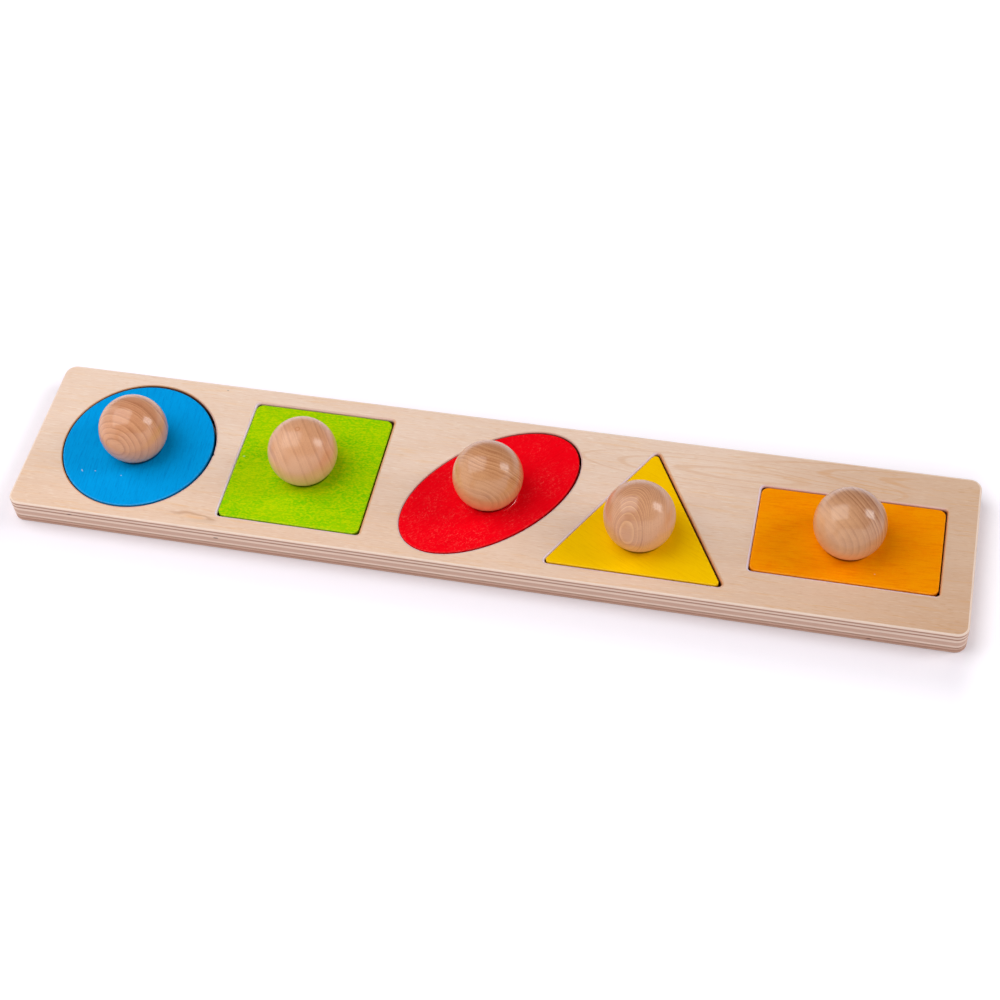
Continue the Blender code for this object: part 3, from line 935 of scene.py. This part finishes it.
def birch_finish():
    """Plain veneer, warmer and darker to the right and to the front, from its own tone and painted shade,
    with rings, knot, and rims of bare wood and painted highlight on it.
    """
    finish = Finish("birch face", roughness=0.5, specular_ior_level=0.25)
    base, streak, fibre = birch_grain(finish)
    x = finish.along((1, 0, 0))
    y = finish.along((0, 1, 0))
    # Warmer and darker to the right and to the front: the veneer's tone and painted shade.
    base = finish.mix(finish.rise(x, 0.06, 0.21), base, TAN_AND_SHADE_TINT, "MULTIPLY")
    base = finish.mix(finish.rise(y * -1.0, -0.01, 0.04), base, WARM_AND_SHADE_TINT, "MULTIPLY")
    wander = finish.patches((0.05, 0.012, 0.05), detail=2.0, centre=(0.07, 0.31, 0.0))
    lines = finish.wave(y / RING_LINE_GAP + wander * 0.55)
    base = finish.mix(finish.rise(lines, 0.86, 1.0) * 0.06, base, RING_BROWN)
    base = cathedral(finish, base, x, y, wander)
    base = knot_swirl(finish, base)
    base = finish.mix(finish.spot(DARK_PORE, 0.0011, 0.0005) * 0.6, base, PORE_BROWN)
    # Painted highlight along the rims, over bare pale wood.
    base = finish.mix(finish.painted("rim") * 0.8, base, RIM_PALE_AND_HIGHLIGHT)
    finish.colour(base)
    finish.rough(streak * 0.03 + 0.5)
    finish.bump(fibre * 0.5 + streak * 0.5, VENEER_RELIEF)
    return finish.material


def cathedral(finish, base, x, y, wander):
    """Nested lines on the back right of the board: contours of a ridge that drops along X."""
    across = (y - RIDGE_MIDDLE) / RIDGE_WIDTH
    hill = across * across + (x - RIDGE_START) / RIDGE_DROP + wander * 0.25
    lines = finish.wave(hill)
    right = finish.rise(x, 0.095, 0.135) * (1 - finish.rise(x, 0.172, 0.182))
    back = finish.rise(y, 0.0235, 0.0275)
    base = finish.mix(finish.rise(lines, 0.82, 1.0) * right * back * 0.42, base, RING_BROWN)
    lens_x = (x - LENS_MIDDLE[0]) / LENS_SIZE[0]
    lens_y = (y - LENS_MIDDLE[1]) / LENS_SIZE[1]
    lens = (lens_x * lens_x + lens_y * lens_y) * 1.3 + wander * 0.12
    near = 1 - finish.rise(lens, 2.2, 3.4)
    return finish.mix(finish.rise(finish.wave(lens), 0.86, 1.0) * near * 0.30, base, RING_BROWN)


def knot_swirl(finish, base):
    """A small pin knot: an amber eye, a brown arc over it and a grey shade on its lower right."""
    warp = finish.patches((0.006, 0.0012, 0.01), detail=3.0)
    along = finish.along(KNOT_LENGTHWAYS, KNOT_MIDDLE) / KNOT_LENGTH
    across = finish.along(KNOT_CROSSWAYS, KNOT_MIDDLE) / KNOT_WIDTH
    radius = (along * along + across * across).math("SQRT") + warp * 0.25
    eye = 1 - finish.rise(radius, 0.1, 1.0)
    rim = finish.rise(radius, 0.6, 1.0) * (1 - finish.rise(radius, 1.0, 1.7))
    upper = finish.rise(across, -0.7, 0.5)
    lower_right = finish.rise(along - across * 0.8, 0.3, 1.5) * (1 - finish.rise(radius, 1.0, 1.9))
    base = finish.mix(lower_right * 0.5, base, KNOT_GREY)
    base = finish.mix(rim * upper * 0.55, base, KNOT_BROWN)
    return finish.mix(eye * 0.6, base, KNOT_AMBER)


# %% [markdown]
# A sawn edge of plywood shows its plies as bands: a ply whose grain runs along the edge is pale and
# smooth, and one that points out of the edge shows its dark open ends. A colour ramp over the depth below
# the face lays the bands out, and noise stretched along the edge makes them look like wood.

# %% Ply edges
PLY_PALE = paint(235, 209, 192)
PLY_DARK = paint(180, 136, 116)
PLY_MIDDLE = paint(209, 171, 152)
VOID_BROWN = paint(96, 66, 52)
EDGE_VOIDS = ((-0.1765, 0.0093), (-0.1101, 0.0072))
BASE_VOIDS = ((0.1666, 0.0016),)
VOID_LENGTH = 0.0013
VOID_HEIGHT = 0.0004
FRONT_EDGE = (-0.0395, -0.038)
BASE_VENEER_DEPTH = 0.0131
BASE_RELIEF = 0.00003
SAW_RELIEF = 0.00004
SHEET_PLIES = (
    (0.0008, 0.0013, PLY_DARK),
    (0.0017, 0.0025, PLY_PALE),
    (0.0028, 0.0034, PLY_DARK),
    (0.0038, 0.0049, PLY_PALE),
    (0.0052, 0.0072, PLY_MIDDLE),
    (0.0076, 0.0083, PLY_PALE),
    (0.0088, 0.0090, PLY_DARK),
)
BASE_PLIES = (
    (0.0000, 0.0008, PLY_MIDDLE),
    (0.0011, 0.0018, PLY_DARK),
)


def both_faces(layers):
    """Two stops for each ply, (depth of its upper face, depth of its lower face, colour)."""
    return [(depth, colour) for upper, lower, colour in layers for depth in (upper, lower)]


def plies(finish, top, stops):
    """A colour that depends on depth below top. Stops are (depth in metres, colour)."""
    wobble = finish.patches((0.03, 0.03, 0.004), detail=2.0) * 0.00006
    return finish.ramp(top - finish.along((0, 0, 1)) + wobble, stops)


def voids(finish, bands, places):
    """Small dark gaps in the plies where a knot fell out, each at (x, z) on the front edge."""
    for x, z in places:
        x_share = finish.along((1, 0, 0), (x, 0, 0)) / VOID_LENGTH
        z_share = finish.along((0, 0, 1), (0, 0, z)) / VOID_HEIGHT
        reach = x_share * x_share + z_share * z_share
        front = 1 - finish.rise(finish.along((0, 1, 0)), *FRONT_EDGE)
        bands = finish.mix((1 - finish.rise(reach, 0.3, 1.2)) * front * 0.85, bands, VOID_BROWN)
    return bands


def edge_finish(name, top, stops, places):
    """Plies by their depth below the top, sawn, with voids in them."""
    finish = Finish(name, roughness=0.6, specular_ior_level=0.2)
    finish.colour(voids(finish, sawn(finish, plies(finish, top, stops)), places))
    return finish.material


def sawn(finish, bands):
    """Streaks along the edge, and fine upright scratches from the saw."""
    streak = finish.patches((0.02, 0.02, 0.0004), detail=3.0)
    pore = finish.patches((0.0012, 0.0012, 0.0003), detail=1.0)
    bands = finish.mix(finish.rise(streak, 0.1, 1.3) * 0.35, bands, PLY_DARK)
    bands = finish.mix(finish.rise(pore, 0.4, 1.3) * 0.25, bands, PLY_PALE)
    finish.bump(streak * 0.6 + pore * 0.4, SAW_RELIEF)
    return bands


def sheet_edge_finish():
    """The thick sheet: the face veneer, palest at its top, and the plies under it."""
    veneer = [(0.0000, paint(243, 219, 203)), (0.0005, paint(236, 208, 190))]
    return edge_finish("ply edge", SHEET_TOP, veneer + both_faces(SHEET_PLIES), EDGE_VOIDS)


def base_edge_finish():
    """The thin sheet: a middle tone, a dark ply, and a middle tone that darkens to the underside, painted
    shade along the lower rounding.
    """
    underside = [(0.0021, PLY_MIDDLE), (0.0030, PLY_DARK)]
    return edge_finish("base ply edge", BASE_THICKNESS, both_faces(BASE_PLIES) + underside, BASE_VOIDS)


def window_wall_finish(name, tones):
    """The cutter's heat has browned the plies, and their darkening with depth is painted shade in the gap.
    Sanding has bared the rim again where the rim value is painted, and that pale line is bare wood and a
    painted highlight.
    """
    finish = Finish(name, roughness=0.7, specular_ior_level=0.1)
    bands = plies(finish, SHEET_TOP, tones + [(SHEET_THICKNESS, tones[-1][1])])
    # The pale rim is bare wood and a painted highlight.
    finish.colour(finish.mix(finish.painted("rim"), sawn(finish, bands), RIM_PALE_AND_HIGHLIGHT))
    return finish.material


# Wall colours by depth below the face: browned by the cutter, and darker with depth as painted shade.
BROWNED_AND_SHADED = [
    (0.0000, paint(214, 168, 134)),
    (0.0001, paint(188, 124, 82)),
    (0.0006, paint(160, 98, 66)),
    (0.0016, paint(112, 68, 46)),
    (0.0034, paint(104, 76, 58)),
]
SANDED_AND_SHADED = [
    (0.0000, paint(228, 184, 144)),
    (0.0002, paint(214, 140, 80)),
    (0.0007, paint(178, 106, 52)),
    (0.0014, paint(118, 70, 36)),
    (0.0034, paint(132, 96, 70)),
]


def base_face_finish():
    """The same veneer out of another part of the log, and browner."""
    finish = Finish("base face", roughness=0.6, specular_ior_level=0.2)
    base, streak, fibre = birch_grain(finish, BASE_VENEER_DEPTH)
    finish.colour(finish.mix(0.25, base, PLY_MIDDLE))
    finish.bump(fibre * 0.5 + streak * 0.5, BASE_RELIEF)
    return finish.material


def glue_finish():
    """Two browns in small clouds."""
    finish = Finish("glue line", roughness=0.45, specular_ior_level=0.3)
    spread = finish.patches((0.004, 0.004, 0.001), detail=2.0)
    finish.colour(finish.mix(finish.rise(spread, -1.0, 1.0), paint(96, 66, 50), paint(140, 104, 82)))
    return finish.material


def dress(piece, *materials):
    """Gives a piece its materials, in the order of its numbered parts."""
    for material in materials:
        piece.data.materials.append(material)
    print(piece.name, "is finished with:", ", ".join(material.name for material in materials))


browned_and_shaded_wall = window_wall_finish("browned and shaded window wall", BROWNED_AND_SHADED)
sanded_and_shaded_wall = window_wall_finish("sanded and shaded window wall", SANDED_AND_SHADED)
dress(windowed_board, birch_finish(), sheet_edge_finish(), browned_and_shaded_wall, sanded_and_shaded_wall)
dress(base_sheet, base_face_finish(), base_edge_finish())
dress(glue_line, glue_finish())

# %% [markdown]
# The pieces are coloured with a thin water stain, and the wood works through it: fine streaks of grain,
# and open pores that drink more colour. Each piece was cut with its grain in another direction and took
# its stain in its own way. So one recipe lays clouds, mottle, streaks and pores over each other, and each
# stain has its own shares of them. On top come painted sheen and shade: curly flecks of painted sheen, a
# painted reflection on the rims, deeper colour on the sides, partly stain and partly painted shade, and a
# dark ring of painted shade round the foot of the ball.

# %% Water stains
FOOT_SHADE_REACH = (0.0108, 0.0116)
FOOT_SHADE_STRENGTH = 0.8
FOOT_SHADE = 0.2
FACE_HEIGHT = (0.010, 0.012)
SIDE_HEIGHT = (0.0112, 0.0120)
SIDE_STAIN_AND_SHADE = 0.55
MARK_STRENGTH = 0.65
RIM_REFLECTION_STRENGTH = 0.3
STAIN_RELIEF = 0.00002
VARNISH_RELIEF = 0.0001


def stain(shape, deep, plain, bright, painted_sheen, turn, mottle=0.0, streaks=0.3, pores=0.3, sheen_curls=0.0, marks=()):
    """Plain colour, bright in clouds, deep in streaks and pores. Mottle adds bright patches, sheen curls add
    squiggles of painted sheen, and marks are (x, y, length, width, turn, tone) of single spots. The rims get
    a painted reflection in the sheen colour. The sawn sides drink more stain, and their deeper colour is
    painted shade too. Round the foot of the ball a dark ring is painted shade."""
    finish = Finish(f"{shape.name} stain", roughness=0.5, specular_ior_level=0.012)
    turn = math.radians(turn)
    cloud = finish.patches((0.014, 0.009, 0.01), turn, detail=3.0)
    streak = finish.patches((0.008, 0.0006, 0.0012), turn, detail=3.0)
    pore = finish.patches((0.0024, 0.0004, 0.0006), turn, detail=2.0)
    patch = finish.patches((0.0012, 0.0007, 0.001), turn, detail=3.0, centre=(0.4, 0.1, 0.0))
    colour = finish.mix(finish.rise(cloud, -0.9, 0.9) * 0.4, plain, bright)
    colour = finish.mix(finish.rise(patch, -0.45, 0.55) * mottle, colour, bright)
    colour = finish.mix(finish.rise(streak, -0.2, 1.1) * streaks, colour, deep)
    colour = finish.mix(finish.rise(pore, 0.35, 1.1) * pores, colour, deep)
    # Painted sheen: pale squiggles in patches, where light glints on the fibres.
    worm = finish.patches((0.0016, 0.0013, 0.002), turn, detail=2.0, centre=(0.2, 0.5, 0.0))
    thin = 1 - finish.rise(worm.math("ABSOLUTE"), 0.02, 0.22)
    sheen_patches = finish.rise(cloud, -0.8, 0.8) * finish.rise(patch, -0.4, 0.7)
    colour = finish.mix(thin * sheen_patches * sheen_curls, colour, painted_sheen)
    for x, y, length, width, spot_turn, tone in marks:
        mark = finish.spot((x, y, 0.0), length, width, math.radians(spot_turn))
        colour = finish.mix(mark * MARK_STRENGTH, colour, tone)
    # Painted reflection: a pale line on the rounded rim in the sheen colour.
    rim_reflection = finish.painted("rim") * finish.rise(patch, -1.2, 0.6)
    colour = finish.mix(rim_reflection * RIM_REFLECTION_STRENGTH, colour, painted_sheen)
    height = finish.along((0, 0, 1))
    # Deeper colour on the sawn sides: more stain drunk in, and painted shade in the gap.
    stained_and_shaded_sides = 1 - finish.rise(height, *SIDE_HEIGHT)
    colour = finish.mix(stained_and_shaded_sides * SIDE_STAIN_AND_SHADE, colour, deep)
    # Painted shade: a dark ring on the face round the foot of the ball.
    offset = finish.vector("SUBTRACT", finish.place, (*shape.middle, 0.0))
    reach = finish.length(finish.vector("MULTIPLY", offset, (1.0, 1.0, 0.0)))
    painted_foot_shade = (1 - finish.rise(reach, *FOOT_SHADE_REACH)) * finish.rise(height, *FACE_HEIGHT)
    foot_shade_colour = (*(value * FOOT_SHADE for value in deep[:3]), 1.0)
    colour = finish.mix(painted_foot_shade * FOOT_SHADE_STRENGTH, colour, foot_shade_colour)
    finish.colour(colour)
    finish.rough(streak * 0.04 + 0.5)
    finish.bump(streak * 0.5 + pore * 0.5, STAIN_RELIEF)
    return finish.material


BLUE_SPECK = paint(190, 205, 222)
GREEN_PIT = paint(58, 120, 0)
STAINS = {
    "circle": dict(
        deep=paint(0, 118, 196), plain=paint(0, 153, 227),
        bright=paint(0, 162, 235), painted_sheen=paint(120, 200, 245),
        turn=94, mottle=0.4, streaks=0.45, pores=0.60, marks=(
            (-0.1777, -0.0179, 0.0016, 0.0006, 130, BLUE_SPECK),
            (-0.1718, -0.0172, 0.0008, 0.0005, 0, BLUE_SPECK),
            (-0.1596, -0.0178, 0.0007, 0.0005, 30, BLUE_SPECK),
        )),
    "square": dict(
        deep=paint(92, 176, 0), plain=paint(124, 203, 0),
        bright=paint(198, 217, 0), painted_sheen=paint(205, 232, 70),
        turn=6, mottle=0.85, streaks=0.35, pores=0.65, marks=(
            (-0.1091, 0.0014, 0.0012, 0.0009, 0, paint(176, 214, 150)),
            (-0.1100, -0.0025, 0.0014, 0.0006, 70, GREEN_PIT),
            (-0.1090, -0.0042, 0.0007, 0.0005, 20, GREEN_PIT),
        )),
    "oval": dict(
        deep=paint(222, 0, 12), plain=paint(248, 0, 20),
        bright=paint(252, 4, 26), painted_sheen=paint(255, 90, 84),
        turn=48, mottle=0.3, streaks=0.35, pores=0.30, sheen_curls=0.6),
    "triangle": dict(
        deep=paint(232, 172, 0), plain=paint(252, 198, 0),
        bright=paint(255, 206, 0), painted_sheen=paint(255, 220, 90),
        turn=-27, mottle=0.3, streaks=0.35, pores=0.30),
    "rectangle": dict(
        deep=paint(232, 104, 0), plain=paint(253, 142, 0),
        bright=paint(255, 166, 0), painted_sheen=paint(255, 190, 90),
        turn=2, mottle=0.35, streaks=0.45, pores=0.50, marks=(
            (0.1656, -0.0156, 0.0008, 0.0005, 0, paint(240, 190, 150)),
        )),
}
for shape in SHAPES:
    finish = stain(shape, **STAINS[shape.name])
    dress(pieces[shape.name], finish, finish)


def bead_finish():
    """Clear varnish over two reds of the stain, wavy from its run."""
    finish = Finish("bead varnish", roughness=0.12, specular_ior_level=0.6,
                    coat_weight=1.0, coat_roughness=0.08)
    flow = finish.patches((0.002, 0.002, 0.001), detail=1.0)
    finish.colour(finish.mix(finish.rise(flow, -1.0, 1.0), paint(214, 0, 16), paint(240, 30, 40)))
    finish.bump(flow, VARNISH_RELIEF)
    return finish.material


dress(bead, bead_finish())

# %% [markdown]
# The balls are turned from blanks of pale hardwood and dipped in gloss varnish. Year rings are cylinders
# round the middle line of the tree, and a ball cut out of them shows ovals or stripes, depending on how
# the blank lay. So each ball has its own middle line of the tree, counted from the ball's middle, and a
# list of how far from that line its years end. One year runs from a pale edge over plain wood to brown
# and ends in a thin dark line. Years of more than 200 mm are nearly flat sheets, which give stripes.

# %% Turned balls
BALL_EDGE = paint(232, 178, 128)
BALL_LINE = paint(146, 76, 36)
MILLIMETRE = 0.001
BROWN_AND_SHADE_SHARE = 0.55
DARK_FIBRE = 0.24
PALE_FIBRE = 0.20
FIBRE_RELIEF = 0.000006
LATHE_MARK_START = (0.0005, 0.0008)
LATHE_MARK_END = (0.0010, 0.0014)


def year_number(finish, distance, years):
    """0 at the end of the first year, 1 at the end of the second, and in straight steps between."""
    last = len(years) - 1
    shares = [number / last for number in range(len(years))]
    grey = [(year * MILLIMETRE, (share, share, share, 1.0)) for year, share in zip(years, shares)]
    return finish.ramp(distance, grey) * last


def ball_finish(shape, tree, direction, years, plain, brown, shade, line=0.5, edge=0.2, late=0.4, even=0.6,
                thin=0.1, waves=0.0003, blur=0.2, streaks=0.4, uneven=0.6, mark=0.0):
    """Rings of the tree at this place and direction. Shade is the side on which the ball is darker: the wood
    is browner there, and the paler other side, low and to the front, is painted light as well. Even is how
    strong the rings still are on the other side. Line and edge are the strengths of a year's dark end and
    pale start, late is how brown a year turns, thin the share of it that its end line takes, waves how far
    the rings stray, in metres. Blur is the roughness of the varnish, streaks the strength of fine streaks
    along the rings, uneven how much the years differ, and mark the lathe's mark on top."""
    finish = Finish(f"{shape.name} ball varnish", roughness=0.45, specular_ior_level=0.15,
                    coat_weight=1.0, coat_roughness=blur, coat_ior=1.5)
    middle = Vector((*shape.middle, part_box(f"{shape.name}_knob")[0].z + BALL_HEIGHT))
    axis = Vector(direction).normalized()
    offset = finish.vector("SUBTRACT", finish.place, tuple(middle + Vector(tree) * MILLIMETRE))
    distance = finish.length(finish.vector("CROSS_PRODUCT", offset, tuple(axis)))
    along = finish.vector("DOT_PRODUCT", offset, tuple(axis), output="Value")
    stray = finish.patches((0.011, 0.011, 0.011), detail=1.5, centre=tuple(middle)) * waves
    number = year_number(finish, distance + stray, years)
    share = number.math("FRACT")
    cloud = finish.patches((0.010, 0.010, 0.010), detail=2.0, centre=(0.1, 0.4, 0.2))
    # Darker to the shade side: the wood's own tone, and painted light on the paler lower front.
    browner_and_shaded = finish.rise(finish.along(shade, tuple(middle)) / KNOB_RADIUS + cloud * 0.3, -0.9, 1.0)
    strength = (finish.rise(cloud, -1.3, 0.8) * 0.5 + 0.5) * (browner_and_shaded * (1 - even) + even)
    year = finish.node("ShaderNodeCombineXYZ", None, {0: number.math("FLOOR")})
    unlike = finish.patches((1.7, 1.0, 1.0), detail=0.0, centre=(0.4, 0.5, 0.5), place=year)
    strength = strength * (finish.rise(unlike, -0.5, 0.5) * uneven + (1 - uneven))
    colour = finish.mix(finish.rise(share, 0.1, 1.0) * strength * late, plain, brown)
    colour = finish.mix(browner_and_shaded * BROWN_AND_SHADE_SHARE, colour, brown)
    rings = finish.node("ShaderNodeCombineXYZ", None, {0: distance + stray, 1: along})
    streak = finish.patches((0.0006, 0.012, 1.0), detail=2.0, place=rings)
    colour = finish.mix(finish.rise(streak, 0.0, 1.0) * strength * streaks, colour, BALL_LINE)
    colour = finish.mix(finish.rise(streak * -1.0, 0.1, 1.0) * strength * streaks * 0.7, colour, BALL_EDGE)
    end = finish.rise(share, 1 - 2.6 * thin, 1 - 0.9 * thin) * (1 - finish.rise(share, 1 - 0.5 * thin, 1.0))
    colour = finish.mix(end * strength * line, colour, BALL_LINE)
    start = 1 - finish.rise(share, 0.6 * thin, 2.0 * thin)
    colour = finish.mix(start * strength * edge, colour, BALL_EDGE)
    spin = math.atan2(axis.y, axis.x)
    fibre = finish.patches((0.003, 0.0003, 0.0003), spin, detail=2.0)
    colour = finish.mix(finish.rise(fibre, 0.1, 1.1) * DARK_FIBRE, colour, BALL_LINE)
    colour = finish.mix(finish.rise(fibre * -1.0, 0.1, 1.1) * PALE_FIBRE, colour, BALL_EDGE)
    if mark:
        top = tuple(middle + Vector((0, 0, KNOB_RADIUS)))
        reach = finish.vector("DISTANCE", finish.place, top, output="Value")
        ring = finish.rise(reach, *LATHE_MARK_START) * (1 - finish.rise(reach, *LATHE_MARK_END))
        colour = finish.mix(ring * mark, colour, brown)
    finish.colour(colour)
    finish.bump(fibre, FIBRE_RELIEF)
    return finish.material


BALLS = {
    "circle": dict(
        tree=(41.5, 288.4, -73.6), direction=(0.94, -0.13, 0.3),
        years=(200.0, 290.0, 295.1, 300.6, 301.4, 304.0, 304.7, 308.1, 310.6, 312.2, 313.4, 314.2, 316.0),
        line=0.50, edge=0.40, late=0.50, even=0.30, thin=0.14, uneven=0.3, blur=0.15,
        shade=(0.0, 0.7, 0.7), plain=paint(223, 159, 117), brown=paint(187, 117, 77)),
    "square": dict(
        tree=(250.5, 162.6, 28.8), direction=(-0.4, 0.7, -0.5),
        years=(200.0, 285.0, 288.5, 291.5, 295.9, 300.1, 304.0, 309.0, 313.0, 320.0),
        line=0.40, edge=0.20, late=0.35, even=0.5, thin=0.12, blur=0.23, mark=0.9,
        shade=(0.5, 0.4, 0.5), plain=paint(228, 172, 132), brown=paint(202, 134, 88)),
    "oval": dict(
        tree=(8.0, 31.4, 3.4), direction=(0.043, -0.12, 0.992),
        years=(1.0, 17.5, 19.5, 21.0, 22.8, 24.0, 26.2, 27.2, 29.6, 31.0, 33.6, 34.8, 36.8, 38.0, 39.4, 41.2,
               42.4, 43.4, 44.8, 45.9, 46.9, 50.0),
        line=0.32, edge=0.30, late=0.34, even=0.22, thin=0.17, waves=0.0006, uneven=0.7, streaks=0.80,
        shade=(0.4, 0.7, 0.45), plain=paint(214, 154, 106), brown=paint(174, 106, 64)),
    "triangle": dict(
        tree=(1.1, 4.76, -1.76), direction=(-0.978, 0.19, -0.085),
        years=(2.0, 3.5, 5.0, 6.2, 7.4, 8.5, 9.6, 10.6, 11.5, 12.3, 13.0, 13.6, 14.2, 14.7, 15.2, 15.6, 16.0,
               16.4, 16.8, 17.2, 17.6, 18.0, 18.45, 18.9, 19.4, 19.85, 20.5),
        line=0.12, edge=0.80, late=0.26, even=0.9, thin=0.14, waves=0.00010, uneven=0.3, streaks=0.35,
        shade=(-0.5, 0.3, 0.6), plain=paint(220, 162, 120), brown=paint(186, 122, 86)),
    "rectangle": dict(
        tree=(-20.8, -15.3, 0.3), direction=(0.571, -0.772, 0.28),
        years=(-20.0, 14.7, 17.0, 19.6, 22.0, 24.3, 26.6, 28.4, 29.8, 31.2, 33.4, 35.8, 38.0, 45.0),
        line=0.50, edge=0.25, late=0.50, even=0.25, thin=0.18, uneven=0.7, blur=0.17, streaks=0.5,
        shade=(0.7, 0.5, 0.4), plain=paint(222, 166, 122), brown=paint(152, 92, 58)),
}
for shape in SHAPES:
    dress(knobs[shape.name], ball_finish(shape, **BALLS[shape.name]))

# %% [markdown]
# Zinc plating is a pale metal with a faint blue and yellow cast and fine marks from rolling.

# %% Zinc-plated screws
ZINC_ROUGHNESS = 0.32
ZINC_RELIEF = 0.00001


def zinc_finish():
    """Two pale greys in small clouds, and fine scuffs in the roughness."""
    finish = Finish("screw zinc", metallic=1.0, roughness=ZINC_ROUGHNESS)
    cast = finish.patches((0.002, 0.002, 0.002), detail=2.0)
    finish.colour(finish.mix(finish.rise(cast, -1.0, 1.0), paint(205, 203, 190), paint(224, 226, 228)))
    scuff = finish.patches((0.0006, 0.0006, 0.0002), detail=2.0)
    finish.rough(scuff * 0.06 + ZINC_ROUGHNESS)
    finish.bump(scuff, ZINC_RELIEF)
    return finish.material


zinc = zinc_finish()
for screw in screws.values():
    dress(screw, zinc)
